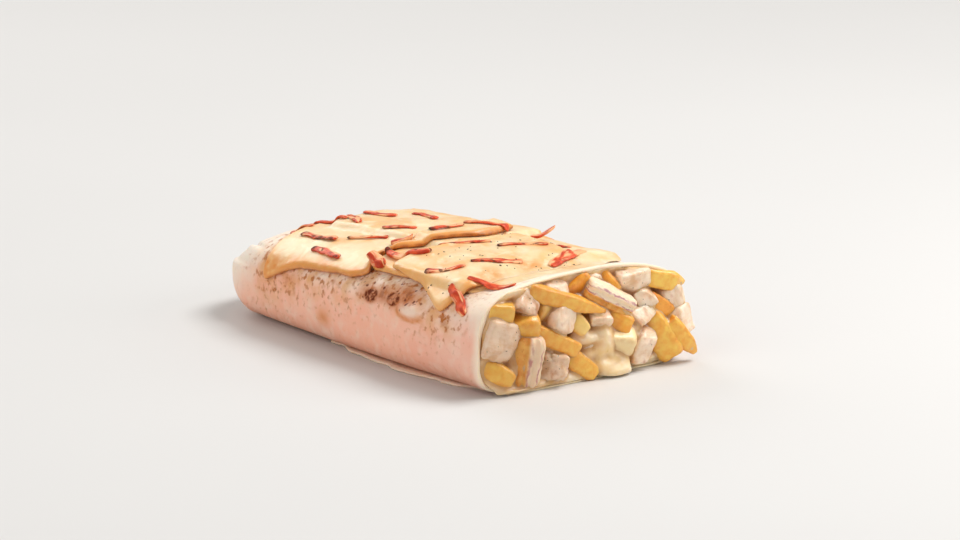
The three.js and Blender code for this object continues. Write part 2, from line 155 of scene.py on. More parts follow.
def add_fields(mesh: bpy.types.Mesh, fields: dict[str, Array]) -> None:
    """Stores named values on a mesh's points.

    Args:
        mesh: gets the values.
        fields: a number or an xyz for each point, by name.
    """
    for name, values in fields.items():
        vector = np.ndim(values) == 2
        kind, key = ("FLOAT_VECTOR", "vector") if vector else ("FLOAT", "value")
        layer = mesh.attributes.new(name, kind, "POINT")
        layer.data.foreach_set(key, np.asarray(values, np.float32).ravel())


def make_mesh(
    name: str,
    points: Array,
    faces: list[list[int]],
    fields: dict[str, Array] | None = None,
    skin_map: Array | None = None,
) -> bpy.types.Mesh:
    """Makes a smooth closed mesh whose faces point outwards.

    Args:
        name: the mesh's name.
        points: in millimetres.
        faces: indices of points.
        fields: values for the points, by name.
        skin_map: two map coordinates for each point.

    Returns:
        The mesh, in metres.
    """
    mesh = bpy.data.meshes.new(name)
    mesh.from_pydata((points * MM).tolist(), [], faces)
    add_fields(mesh, fields or {})
    if skin_map is not None:
        corners = np.zeros(len(mesh.loops), np.int32)
        mesh.loops.foreach_get("vertex_index", corners)
        layer = mesh.uv_layers.new(name="skin")
        layer.data.foreach_set("uv", skin_map[corners].astype(np.float32).ravel())
    mesh.calc_loop_triangles()
    triangles = np.zeros(len(mesh.loop_triangles) * 3, np.int32)
    mesh.loop_triangles.foreach_get("vertices", triangles)
    a, b, c = np.moveaxis(points[triangles.reshape(-1, 3)], 1, 0)
    if np.einsum("ij,ij->", a, np.cross(b, c)) < 0:
        mesh.flip_normals()
    mesh.polygons.foreach_set("use_smooth", np.ones(len(mesh.polygons), bool))
    mesh.update()
    return mesh


def ball(levels: int) -> tuple[Array, list[list[int]]]:
    """Gives the directions and faces of a ball of even triangles.

    Args:
        levels: how often its faces are split.

    Returns:
        Points at distance 1 and faces.
    """
    form = bmesh.new()
    bmesh.ops.create_icosphere(form, subdivisions=levels, radius=1)
    points = np.array([vertex.co[:] for vertex in form.verts])
    faces = [[vertex.index for vertex in face.verts] for face in form.faces]
    form.free()
    return points, faces


def places_of(mesh: bpy.types.Mesh) -> Array:
    """Gives a mesh's points in millimetres."""
    points = np.zeros(len(mesh.vertices) * 3)
    mesh.vertices.foreach_get("co", points)
    return points.reshape(-1, 3) / MM


def move_points(mesh: bpy.types.Mesh, points: Array) -> None:
    """Puts a mesh's points at places in millimetres."""
    mesh.vertices.foreach_set("co", (points * MM).ravel())
    mesh.update()


def add_object(name: str, data: bpy.types.ID) -> bpy.types.Object:
    """Adds an object with its data to the scene."""
    made = bpy.data.objects.new(name, data)
    bpy.context.scene.collection.objects.link(made)
    return made


def shaped(holder: bpy.types.Object, name: str, keep_fields: bool = False) -> bpy.types.Mesh:
    """Gives the mesh that an object's modifiers make.

    Args:
        holder: the object, which is taken away.
        name: the new mesh's name.
        keep_fields: keeps the values on its points.

    Returns:
        A plain mesh.
    """
    graph = bpy.context.evaluated_depsgraph_get()
    result = holder.evaluated_get(graph)
    mesh = bpy.data.meshes.new_from_object(result, preserve_all_data_layers=keep_fields, depsgraph=graph)
    mesh.name = name
    holder.modifiers.clear()
    bpy.data.objects.remove(holder)
    return mesh


def show(
    mesh: bpy.types.Mesh, nodes: list[str], finish: bpy.types.Material | None = None
) -> None:
    """Adds a mesh to the scene as a piece of the object, under the mesh's name.

    Args:
        mesh: the piece's mesh.
        nodes: the CAD nodes that it stands for.
        finish: its material, where the mesh doesn't have it yet.
    """
    if finish:
        mesh.materials.append(finish)
    piece = add_object(mesh.name, mesh)
    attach(piece, "root")
    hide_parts(*nodes)
    log.info("%s: %d faces", piece.name, len(mesh.polygons))


# ---- node trees


class NodeBuilder:
    """Adds nodes to a tree and joins them."""

    def __init__(self, tree: bpy.types.NodeTree) -> None:
        """Keeps the tree to build in.

        Args:
            tree: gets the nodes.
        """
        self.tree = tree

    def node(self, kind: str, inputs: dict | None = None, **settings: object) -> bpy.types.Node:
        """Adds a node.

        Args:
            kind: its type.
            inputs: values or sockets for its inputs, by name or place.
            **settings: its properties.

        Returns:
            The node.
        """
        made = self.tree.nodes.new(kind)
        for key, value in settings.items():
            setattr(made, key, value)
        for key, value in (inputs or {}).items():
            self.put(made.inputs[key], value)
        return made

    def put(self, socket: Socket, value: object) -> None:
        """Joins an input to a socket, or sets it to a constant."""
        if isinstance(value, Socket):
            self.tree.links.new(value, socket)
        else:
            socket.default_value = value

    def maths(self, operation: str, a: object, b: object = 0.0, clamp: bool = False) -> Socket:
        """Adds a step of arithmetic and gives its result."""
        made = self.node("ShaderNodeMath", {0: a, 1: b}, operation=operation, use_clamp=clamp)
        return made.outputs[0]

    def times(self, a: object, b: object, clamp: bool = False) -> Socket:
        """Multiplies two values."""
        return self.maths("MULTIPLY", a, b, clamp)

    def plus(self, a: object, b: object) -> Socket:
        """Adds two values."""
        return self.maths("ADD", a, b)

    def vectors(self, operation: str, a: object, b: object = (0, 0, 0)) -> Socket:
        """Adds a step of arithmetic on vectors and gives its result."""
        made = self.node("ShaderNodeVectorMath", {0: a}, operation=operation)
        self.put(made.inputs["Scale" if operation == "SCALE" else 1], b)
        return made.outputs[0]


def colour(code: str) -> tuple[float, float, float, float]:
    """Turns a colour as it looks on screen, such as "f5d896", into a shader's numbers."""
    values = [int(code[i : i + 2], 16) / 255 for i in (0, 2, 4)]
    linear = [v / 12.92 if v <= 0.04045 else ((v + 0.055) / 1.055) ** 2.4 for v in values]
    return (*linear, 1.0)


class Shader(NodeBuilder):
    """Builds one procedural material. Sizes and depths are in millimetres."""

    def __init__(self, name: str, **constants: float | tuple) -> None:
        """Starts a material.

        Args:
            name: the material's name.
            **constants: values for the surface's own sockets, with _ for a space.
        """
        self.material = bpy.data.materials.new(name)
        self.material.use_nodes = True
        super().__init__(self.material.node_tree)
        self.surface = self.tree.nodes["Principled BSDF"]
        for key, value in constants.items():
            label = key.replace("_", " ").title().replace("Ior", "IOR")
            self.surface.inputs[label].default_value = value
        self.place = self.node("ShaderNodeTexCoord").outputs["Object"]

    def field(self, name: str, vector: bool = False) -> Socket:
        """Reads a named value of the mesh."""
        made = self.node("ShaderNodeAttribute", attribute_name=name)
        return made.outputs["Vector" if vector else "Fac"]

    def stretched(self, vector: Socket, scale: tuple[float, float, float]) -> Socket:
        """Scales coordinates, each axis on its own."""
        return self.node("ShaderNodeMapping", {"Vector": vector, "Scale": scale}).outputs[0]

    def skin(self, along: float, across: float) -> Socket:
        """Gives coordinates on the skin in cells of `along` by `across`, from the skin map in decimetres."""
        flat = self.node("ShaderNodeUVMap", uv_map="skin").outputs[0]
        return self.stretched(flat, (100 / along, 100 / across, 1))

    def noise(self, size: float, detail: float = 3, vector: Socket | None = None, warp: float = 0) -> Socket:
        """Gives soft noise from 0 to 1 with lumps of `size`, or of 1 unit of `vector`."""
        scale = 1.0 if vector else 1 / (size * MM)
        inputs = {"Vector": vector or self.place, "Scale": scale, "Detail": detail, "Distortion": warp}
        return self.node("ShaderNodeTexNoise", inputs).outputs["Fac"]

    def cells(self, size: float, vector: Socket | None = None) -> tuple[Socket, Socket]:
        """Gives the distance to the middle of cells of `size`, and a random value for each cell."""
        scale = 1.0 if vector else 1 / (size * MM)
        made = self.node("ShaderNodeTexVoronoi", {"Vector": vector or self.place, "Scale": scale})
        split = self.node("ShaderNodeSeparateColor", {0: made.outputs["Color"]})
        return made.outputs["Distance"], split.outputs[0]

    def ease(self, value: Socket, low: float, high: float) -> Socket:
        """Eases from 0 where the value is `low` to 1 where it is `high`."""
        inputs = {"Value": value, "From Min": low, "From Max": high}
        return self.node("ShaderNodeMapRange", inputs, interpolation_type="SMOOTHSTEP").outputs[0]

    def blend(self, share: object, low: object, high: object) -> Socket:
        """Mixes two colours."""
        low, high = [colour(c) if isinstance(c, str) else c for c in (low, high)]
        return self.node("ShaderNodeMix", {0: share, 6: low, 7: high}, data_type="RGBA").outputs[2]

    def level(self, share: Socket, low: float, high: float) -> Socket:
        """Goes from `low` to `high` as the share goes from 0 to 1."""
        return self.node("ShaderNodeMapRange", {"Value": share, "To Min": low, "To Max": high}).outputs[0]

    def patchy(self, name: str, size: float, detail: float, low: float, high: float) -> Socket:
        """Reads a named value, made uneven by noise between `low` and `high` times itself."""
        return self.times(self.field(name), self.level(self.noise(size, detail), low, high), clamp=True)

    def relief(self, *layers: tuple[Socket, float]) -> None:
        """Adds fine relief, from pairs of a height from 0 to 1 and its depth."""
        normal: Socket | None = None
        for height, depth in layers:
            inputs = {"Height": height, "Distance": depth * MM}
            if normal:
                inputs["Normal"] = normal
            normal = self.node("ShaderNodeBump", inputs).outputs[0]
        self.put(self.surface.inputs["Normal"], normal)

    def finish(self, base: Socket, roughness: object) -> bpy.types.Material:
        """Sets the surface's colour and roughness and gives the material."""
        self.put(self.surface.inputs["Base Color"], base)
        self.put(self.surface.inputs["Roughness"], roughness)
        return self.material


class GeometryTree(NodeBuilder):
    """A Geometry Nodes tree with named inputs that turns one mesh into another."""

    def __init__(self, name: str, inputs: dict[str, str]) -> None:
        """Starts the tree.

        Args:
            name: the tree's name.
            inputs: the kind of each input after the first, which is the mesh, by name.
        """
        super().__init__(bpy.data.node_groups.new(name, "GeometryNodeTree"))
        kinds = {"Mesh": "Geometry", **inputs, "Material": "Material"}
        for label, kind in kinds.items():
            self.tree.interface.new_socket(label, in_out="INPUT", socket_type="NodeSocket" + kind)
        self.tree.interface.new_socket("Result", in_out="OUTPUT", socket_type="NodeSocketGeometry")
        self.given = self.node("NodeGroupInput").outputs

    def named(self, name: str, kind: str = "FLOAT") -> Socket:
        """Reads a named value of the geometry."""
        return self.node("GeometryNodeInputNamedAttribute", {"Name": name}, data_type=kind).outputs[0]

    def end(self, geometry: Socket) -> None:
        """Smooths and realizes the geometry, sets its material and puts it out."""
        smoothed = self.node("GeometryNodeSetShadeSmooth", {"Geometry": geometry}).outputs[0]
        real = self.node("GeometryNodeRealizeInstances", {"Geometry": smoothed}).outputs[0]
        inputs = {"Geometry": real, "Material": self.given["Material"]}
        dressed = self.node("GeometryNodeSetMaterial", inputs).outputs[0]
        self.node("NodeGroupOutput", {0: dressed})

    def run(self, name: str, mesh: bpy.types.Mesh, **inputs: object) -> bpy.types.Mesh:
        """Runs the tree on a mesh.

        Args:
            name: the new mesh's name.
            mesh: goes in.
            **inputs: values of the named inputs, with _ for a space.

        Returns:
            A plain mesh.
        """
        holder = add_object(name + "_source", mesh)
        modifier = holder.modifiers.new("shape", "NODES")
        modifier.node_group = self.tree
        items = [i for i in self.tree.interface.items_tree if i.in_out == "INPUT"]
        identifiers = {item.name: item.identifier for item in items}
        for key, value in inputs.items():
            modifier[identifiers[key.replace("_", " ")]] = value
        return shaped(holder, name, keep_fields=True)


class SweepTree(GeometryTree):
    """Sweeps a rounded rectangle along lines whose points hold its place, directions and half sizes."""

    def __init__(self) -> None:
        """Builds the tree."""
        sizes = {"Corner": "Float", "Sides": "Int", "Ruffle": "Float", "Ruffle size": "Float"}
        sizes |= {"Ridge depth": "Float", "Ridges": "Float", "Seed": "Float"}
        super().__init__("swept_strips", sizes)
        given = self.given
        rails = self.node("GeometryNodeMeshToCurve", {"Mesh": given["Mesh"]}).outputs[0]
        square = self.node("GeometryNodeCurvePrimitiveQuadrilateral", {"Width": 2.0, "Height": 2.0})
        rounded = self.node(
            "GeometryNodeFilletCurve",
            {"Curve": square.outputs[0], "Count": 4, "Radius": given["Corner"]},
            mode="POLY",
        )
        profile = self.node(
            "GeometryNodeResampleCurve", {"Curve": rounded.outputs[0], "Count": given["Sides"]}
        )
        place = self.node("GeometryNodeInputPosition").outputs[0]
        marked = self.node(
            "GeometryNodeStoreNamedAttribute",
            {"Geometry": profile.outputs[0], "Name": "across", "Value": place},
            data_type="FLOAT_VECTOR",
        )
        inputs = {"Curve": rails, "Profile Curve": marked.outputs[0], "Fill Caps": True}
        tube = self.node("GeometryNodeCurveToMesh", inputs).outputs[0]
        across = self.node("ShaderNodeSeparateXYZ", {0: self.named("across", "FLOAT_VECTOR")}).outputs
        sideways = self.times(across[0], self.named("half_width"))
        upwards = self.times(across[1], self.named("half_thick"))
        wave = self.maths("COSINE", self.times(across[0], given["Ridges"]))
        ridge = self.times(self.times(wave, given["Ridge depth"]), across[1])
        side = self.vectors("SCALE", self.named("side", "FLOAT_VECTOR"), sideways)
        up = self.vectors("SCALE", self.named("lift", "FLOAT_VECTOR"), self.plus(upwards, ridge))
        new_place = self.vectors("ADD", self.named("centre", "FLOAT_VECTOR"), self.vectors("ADD", side, up))
        self.end(self.ruffled(tube, new_place))

    def ruffled(self, tube: Socket, new_place: Socket) -> Socket:
        """Moves the tube's points to their places and roughens them.

        Args:
            tube: the geometry.
            new_place: where its points go.

        Returns:
            The moved geometry.
        """
        given = self.given
        moved = self.node("GeometryNodeSetPosition", {"Geometry": tube, "Position": new_place}).outputs[0]
        place = self.node("GeometryNodeInputPosition").outputs[0]
        offset = self.plus(self.named("seed"), given["Seed"])
        rough = self.node(
            "ShaderNodeTexNoise",
            {"Vector": place, "W": offset, "Scale": given["Ruffle size"], "Detail": 3.0},
            noise_dimensions="4D",
        )
        centred = self.vectors("SUBTRACT", rough.outputs["Color"], (0.5, 0.5, 0.5))
        push = self.vectors("SCALE", centred, given["Ruffle"])
        return self.node("GeometryNodeSetPosition", {"Geometry": moved, "Offset": push}).outputs[0]


class ScatterTree(GeometryTree):
    """Scatters small flakes or crumbs on a surface, as densely as its named value `scatter` says."""

    def __init__(self) -> None:
        """Builds the tree."""
        sizes = {"Density": "Float", "Size": "Float", "Smallest": "Float", "Flatness": "Float"}
        super().__init__("scattered_bits", {**sizes, "Seed": "Int"})
        given = self.given
        density = self.times(self.named("scatter"), given["Density"])
        spread = self.node(
            "GeometryNodeDistributePointsOnFaces",
            {"Mesh": given["Mesh"], "Density": density, "Seed": given["Seed"]},
        )
        bit = self.node("GeometryNodeMeshIcoSphere", {"Radius": given["Size"], "Subdivisions": 1})
        turn = self.node(
            "FunctionNodeRandomValue",
            {0: (0.0, 0.0, 0.0), 1: (0.5, 0.5, math.tau), "Seed": given["Seed"]},
            data_type="FLOAT_VECTOR",
        )
        turned = self.node(
            "FunctionNodeRotateRotation",
            {0: spread.outputs["Rotation"], 1: turn.outputs[0]},
            rotation_space="LOCAL",
        )
        smallest, flatness = given["Smallest"], given["Flatness"]
        least = self.node("ShaderNodeCombineXYZ", {0: smallest, 1: smallest, 2: flatness})
        most = self.node("ShaderNodeCombineXYZ", {0: 1.0, 1: 0.7, 2: flatness})
        size = self.node(
            "FunctionNodeRandomValue",
            {0: least.outputs[0], 1: most.outputs[0], "Seed": given["Seed"]},
            data_type="FLOAT_VECTOR",
        )
        inputs = {"Points": spread.outputs[0], "Instance": bit.outputs[0]}
        inputs |= {"Rotation": turned.outputs[0], "Scale": size.outputs[0]}
        self.end(self.node("GeometryNodeInstanceOnPoints", inputs).outputs[0])


# ---- finishes


@dataclass(frozen=True)
class TortillaFinish:
    """Soft wheat dough: cream on top, pinkish on the sides, with freckles, grease and toasted patches. The
    pink is partly the dough's own tone and partly painted red bounce light, and the part nearest the table is
    darkened by painted shade.
    """

    cream: str = "f8e6d3"
    # Pink of the sides: partly the dough's own tone, partly painted red bounce light.
    blush_and_red_bounce: str = "f4b198"
    rosy: str = "fcb497"
    # Painted shade and red bounce light for the lowest part of the sides.
    low: str = "dc9a7c"
    freckle: str = "b66a30"
    grease: str = "dd9c52"
    tan: str = "d98646"
    toast: str = "b65c16"
    char: str = "6b2806"
    sauce: str = "f7e0bc"
    rim: str = "fae3cb"

    def make(self) -> bpy.types.Material:
        """Builds the material."""
        s = Shader(
            "tortilla_dough", subsurface_weight=0.25, subsurface_radius=(1.0, 0.5, 0.3),
            subsurface_scale=0.003, specular_ior_level=0.15,
        )
        along, _, height = s.node("ShaderNodeSeparateXYZ", {0: s.place}).outputs
        # Pink sides against a cream top: partly the dough's own tone, partly painted red bounce light.
        side = s.patchy("blush_and_red_bounce", 24, 4, 0.5, 1.25)
        base = s.blend(side, self.cream, s.blend(s.ease(along, 0.09, 0.03), self.blush_and_red_bounce, self.rosy))
        # Darker and redder towards the table: painted shade and painted red bounce light.
        base = s.blend(s.times(s.ease(height, 0.014, 0.002), 0.7), base, self.low)
        base = s.blend(s.times(s.ease(s.noise(6, 4), 0.42, 0.75), 0.35), base, self.cream)
        greasy = s.times(s.field("grease"), s.ease(s.noise(7, 4), 0.3, 0.7))
        base = s.blend(s.times(greasy, 0.85), base, self.grease)
        spots = self.freckles(s)
        base = s.blend(spots, base, self.freckle)
        tanned = s.patchy("tan", 3, 4, 0.35, 1.15)
        base = s.blend(tanned, base, self.tan)
        base = s.blend(s.times(s.field("pale"), 0.65), base, self.cream)
        rimmed = s.patchy("rimmed", 5, 4, 0.45, 1.2)
        base = s.blend(rimmed, base, self.rim)
        toast = s.field("toast")
        smear = s.times(s.ease(toast, 0.05, 0.8), s.level(s.noise(2.6, 4), 0.2, 1.2), clamp=True)
        base = s.blend(smear, base, self.toast)
        core = s.times(s.ease(toast, 0.55, 0.95), s.ease(s.noise(2.4, 3), 0.38, 0.58))
        base = s.blend(core, base, self.char)
        distance, chance = s.cells(1, s.skin(2.8, 2.4))
        ragged = s.plus(distance, s.times(s.noise(1.0, 3), 0.5))
        wanted = s.maths("GREATER_THAN", s.plus(chance, s.times(toast, 0.7)), 0.75)
        dots = s.times(s.ease(ragged, 0.62, 0.4), wanted)
        dots = s.times(dots, s.ease(toast, 0.02, 0.25))
        base = s.blend(s.times(dots, s.level(chance, 0.6, 1.0)), base, self.char)
        base = s.blend(s.field("inner"), base, self.sauce)
        gloss = s.maths("MAXIMUM", s.field("inner"), s.times(s.field("grease"), 0.5))
        s.relief((s.noise(9, 3), 0.5), (s.noise(1.6, 4), 0.16), (s.maths("SUBTRACT", 1.0, spots), 0.15))
        return s.finish(base, s.level(gloss, 0.6, 0.33))

    @staticmethod
    def freckles(s: Shader) -> Socket:
        """Gives soft uneven spots, denser where the mesh says so."""
        dense = s.field("freckle")
        small = s.plus(s.noise(1, 2, s.skin(3.0, 3.2)), s.times(dense, 0.1))
        large = s.plus(s.noise(1, 3, s.skin(6.5, 6.0)), s.times(dense, 0.08))
        spots = s.plus(s.ease(small, 0.6, 0.78), s.times(s.ease(large, 0.6, 0.82), 0.7))
        return s.times(spots, s.level(dense, 0.18, 0.9), clamp=True)


@dataclass(frozen=True)
class CheeseFinish:
    """Melted slices: pale and glossy in the middle, deeper yellow to orange along their edges, and darker
    underneath and at the very edge from browned grease and painted shade.
    """

    bright: str = "ffedc6"
    pale: str = "f8d8a9"
    warm: str = "f4c080"
    edge: str = "f0ae55"
    rind: str = "e59a48"
    gold: str = "e98f36"
    # Browned grease and painted shade, for the underside and the very edge.
    grease_and_shade_brown: str = "a85a22"

    def make(self) -> bpy.types.Material:
        """Builds the material."""
        s = Shader(
            "melted_cheese", subsurface_weight=0.3, subsurface_radius=(1.0, 0.6, 0.3),
            subsurface_scale=0.003, coat_weight=0.15, coat_roughness=0.25,
        )
        base = s.blend(s.ease(s.noise(16, 4, warp=0.6), 0.38, 0.66), self.pale, self.warm)
        base = s.blend(s.times(s.ease(s.noise(8, 4, warp=0.4), 0.5, 0.7), 0.65), base, self.bright)
        edged = s.patchy("edge", 6, 3, 0.3, 1.2)
        base = s.blend(edged, base, self.edge)
        golden = s.times(s.field("gold"), s.ease(s.noise(5, 4), 0.25, 0.65))
        base = s.blend(golden, base, self.gold)
        rind = s.patchy("rind", 4, 3, 0.55, 1.25)
        base = s.blend(rind, base, self.rind)
        # Darker underside and very edge: browned grease with painted shade under the slice.
        browned = s.times(s.field("under"), s.ease(s.noise(3.5, 4), 0.2, 0.65))
        base = s.blend(s.times(browned, 0.9), base, self.grease_and_shade_brown)
        s.relief((s.noise(11, 2), 0.8), (s.noise(2.6, 3), 0.14), (s.noise(0.7, 2), 0.02))
        return s.finish(base, s.level(s.noise(8, 4), 0.28, 0.5))


@dataclass(frozen=True)
class BaconFinish:
    """Cured strips: red meat with bands of paler fat along it, charred marks and a charred end."""

    meat: str = "e2582f"
    lean: str = "bb381a"
    fat: str = "f4b480"
    char: str = "4a1c08"

    def make(self) -> bpy.types.Material:
        """Builds the material."""
        s = Shader("bacon", coat_weight=0.05, coat_roughness=0.35, specular_ior_level=0.25)
        across = s.node("ShaderNodeSeparateXYZ", {0: s.field("across", True)}).outputs[0]
        run, seed = s.field("run"), s.field("seed")
        strand = s.node("ShaderNodeCombineXYZ", {0: run, 1: across, 2: seed}).outputs[0]
        grain = s.noise(1, 3, s.stretched(strand, (0.3, 1.2, 1.0)))
        base = s.blend(s.ease(grain, 0.38, 0.6), self.lean, self.meat)
        bands = s.noise(1, 2, s.stretched(strand, (0.1, 1.1, 1.7)))
        fatty = s.plus(bands, s.times(s.field("tint"), 0.3))
        base = s.blend(s.ease(fatty, 0.58, 0.68), base, self.fat)
        tip = s.maths("SUBTRACT", 0.5, s.field("share"))
        ends = s.ease(s.plus(tip, s.times(s.noise(1.6, 3), 0.22)), 0.46, 0.6)
        marks = s.ease(s.noise(1, 3, s.stretched(strand, (0.33, 0.8, 2.3))), 0.56, 0.66)
        burnt = s.maths("MAXIMUM", ends, s.times(marks, 0.8))
        burnt = s.times(burnt, s.field("char"))
        base = s.blend(burnt, base, self.char)
        s.relief((grain, 0.2), (s.noise(0.8, 3), 0.08))
        dry = s.times(burnt, 0.35)
        return s.finish(base, s.plus(s.level(s.noise(1.5, 2), 0.36, 0.52), dry))


@dataclass(frozen=True)
class FryFinish:
    """Fried potato: yellow sides, golden to orange along the crisp edges, and pale where sauce coats it."""

    soft: str = "ffd25e"
    gold: str = "f7a634"
    crisp: str = "d6731c"
    # Painted shade colour for the cut's recesses and its left side.
    soaked: str = "b46a1c"
    coated: str = "f5dca6"

    def make(self) -> bpy.types.Material:
        """Builds the material."""
        s = Shader(
            "fried_potato", subsurface_weight=0.15, subsurface_radius=(1.0, 0.6, 0.2),
            subsurface_scale=0.002, coat_weight=0.3, coat_roughness=0.25,
        )
        split = s.node("ShaderNodeSeparateXYZ", {0: s.field("across", True)}).outputs
        corner = s.times(s.maths("ABSOLUTE", split[0]), s.maths("ABSOLUTE", split[1]))
        tint = s.field("tint")
        mottled = s.plus(s.noise(3.2, 4), s.times(tint, 0.45))
        base = s.blend(s.ease(mottled, 0.35, 1.0), self.soft, self.gold)
        base = s.blend(s.ease(tint, 0.0, -1.0), base, self.coated)
        spotted = s.times(s.ease(s.noise(1.3, 4), 0.55, 0.8), s.level(tint, 0.08, 0.4))
        base = s.blend(spotted, base, self.crisp)
        tip = s.maths("ABSOLUTE", s.maths("SUBTRACT", s.field("share"), 0.5))
        crisped = s.plus(s.ease(corner, 0.45, 0.95), s.ease(tip, 0.44, 0.52))
        crisped = s.times(crisped, s.ease(s.noise(2.1, 3), 0.3, 0.7), clamp=True)
        base = s.blend(s.times(crisped, s.level(tint, 0.35, 0.9)), base, self.crisp)
        # Painted shade in the cut's recesses and over its left side, in the colour `soaked`.
        base = s.blend(s.times(s.field("painted_shade"), 0.75), base, self.soaked)
        s.relief((s.noise(3.2, 3), 0.35), (s.noise(0.8, 2), 0.06))
        return s.finish(base, s.level(s.noise(2, 2), 0.26, 0.45))


@dataclass(frozen=True)
class ChickenFinish:
    """Cooked chicken: pale, with fine fibres along each piece and lightly browned places."""

    pale: str = "f8e0c6"
    shade: str = "e2b78c"
    seared: str = "b8743f"
    # Painted shade colour for the cut's recesses and its left side.
    soaked: str = "ac7034"

    def make(self) -> bpy.types.Material:
        """Builds the material."""
        s = Shader(
            "chicken", subsurface_weight=0.3, subsurface_radius=(1.0, 0.5, 0.3), subsurface_scale=0.003,
            coat_weight=0.25, coat_roughness=0.25,
        )
        grain = s.field("grain", True)
        fibres = s.noise(1, 4, s.stretched(grain, (0.35, 2.6, 2.6)), warp=0.5)
        cloud = s.plus(s.times(fibres, 0.2), s.times(s.noise(5, 4), 0.8))
        base = s.blend(s.ease(cloud, 0.28, 0.6), self.shade, self.pale)
        browned = s.plus(s.noise(5, 4), s.times(s.field("tint"), 0.35))
        base = s.blend(s.times(s.ease(browned, 0.66, 0.9), 0.8), base, self.seared)
        # Painted shade in the cut's recesses and over its left side, in the colour `soaked`.
        base = s.blend(s.times(s.field("painted_shade"), 0.75), base, self.soaked)
        s.relief((fibres, 0.1), (s.noise(2.0, 3), 0.15), (s.noise(0.7, 3), 0.05))
        return s.finish(base, s.level(fibres, 0.46, 0.34))


@dataclass(frozen=True)
class BreadedFinish:
    """Breaded ham and cheese: cream layers with thin pink ones, and a browned crumb coat along one side."""

    cream: str = "fbe2c0"
    ham: str = "bd8484"
    crust: str = "efb356"
    dark: str = "dd8f34"
    # Painted shade colour for the cut's recesses and its left side.
    soaked: str = "b4702a"

    def make(self) -> bpy.types.Material:
        """Builds the material."""
        s = Shader(
            "breaded_ham_and_cheese", subsurface_weight=0.2, subsurface_scale=0.002,
            coat_weight=0.2, coat_roughness=0.3,
        )
        across = s.node("ShaderNodeSeparateXYZ", {0: s.field("across", True)}).outputs[0]
        wavy = s.plus(across, s.times(s.maths("SUBTRACT", s.noise(6, 4), 0.5), 0.8))
        stripe = s.maths("COSINE", s.times(wavy, 9.0))
        broken = s.times(s.ease(stripe, 0.5, 1.0), s.ease(s.noise(4, 3), 0.25, 0.6))
        layers = s.blend(broken, self.cream, self.ham)
        crumbs = s.blend(s.ease(s.noise(3.6, 3), 0.3, 0.65), self.dark, self.crust)
        coat = s.ease(s.plus(across, s.times(s.noise(4, 3), 0.2)), 0.1, -0.08)
        base = s.blend(coat, layers, crumbs)
        # Painted shade in the cut's recesses and over its left side, in the colour `soaked`.
        base = s.blend(s.times(s.field("painted_shade"), 0.7), base, self.soaked)
        s.relief((s.noise(1.1, 3), 0.25), (stripe, 0.08))
        return s.finish(base, s.level(coat, 0.42, 0.68))


@dataclass(frozen=True)
class SauceFinish:
    """Warm cheese sauce: cream to pale yellow, smooth and glossy, with painted shade in the cut's recesses,
    and darker yellow next to the pieces as thin sauce and painted contact shade.
    """

    cream: str = "f7e0bd"
    yellow: str = "f3cd8c"
    # Darker yellow next to the pieces: thin sauce with painted contact shade.
    thin: str = "dba35a"
    # Painted shade colour for the cut's recesses and its left side.
    deep: str = "a8682a"

    def make(self) -> bpy.types.Material:
        """Builds the material."""
        s = Shader(
            "cheese_sauce", subsurface_weight=0.4, subsurface_radius=(1.0, 0.75, 0.4),
            subsurface_scale=0.004, coat_weight=0.3, coat_roughness=0.12,
        )
        base = s.blend(s.ease(s.noise(9, 3), 0.35, 0.75), self.cream, self.yellow)
        # Next to the pieces the sauce turns darker yellow: thin sauce with painted contact shade.
        coat = s.patchy("coat", 3, 3, 0.3, 1.2)
        base = s.blend(s.times(coat, 0.85), base, self.thin)
        # Painted shade in the cut's recesses and over its left side, in the colour `deep`.
        base = s.blend(s.times(s.field("painted_shade"), 0.85), base, self.deep)
        s.relief((s.noise(5, 2), 0.35), (s.noise(1.2, 2), 0.04))
        return s.finish(base, s.level(s.noise(4, 2), 0.22, 0.38))


@dataclass(frozen=True)
class BitFinish:
    """Small dry bits: ground pepper or browned crumbs."""

    name: str
    dark: str
    light: str

    def make(self) -> bpy.types.Material:
        """Builds the material."""
        s = Shader(self.name)
        base = s.blend(s.ease(s.noise(0.9, 2), 0.4, 0.65), self.dark, self.light)
        s.relief((s.noise(0.3, 2), 0.05))
        return s.finish(base, s.level(s.noise(0.6, 1), 0.6, 0.85))


# ---- the parcel's form


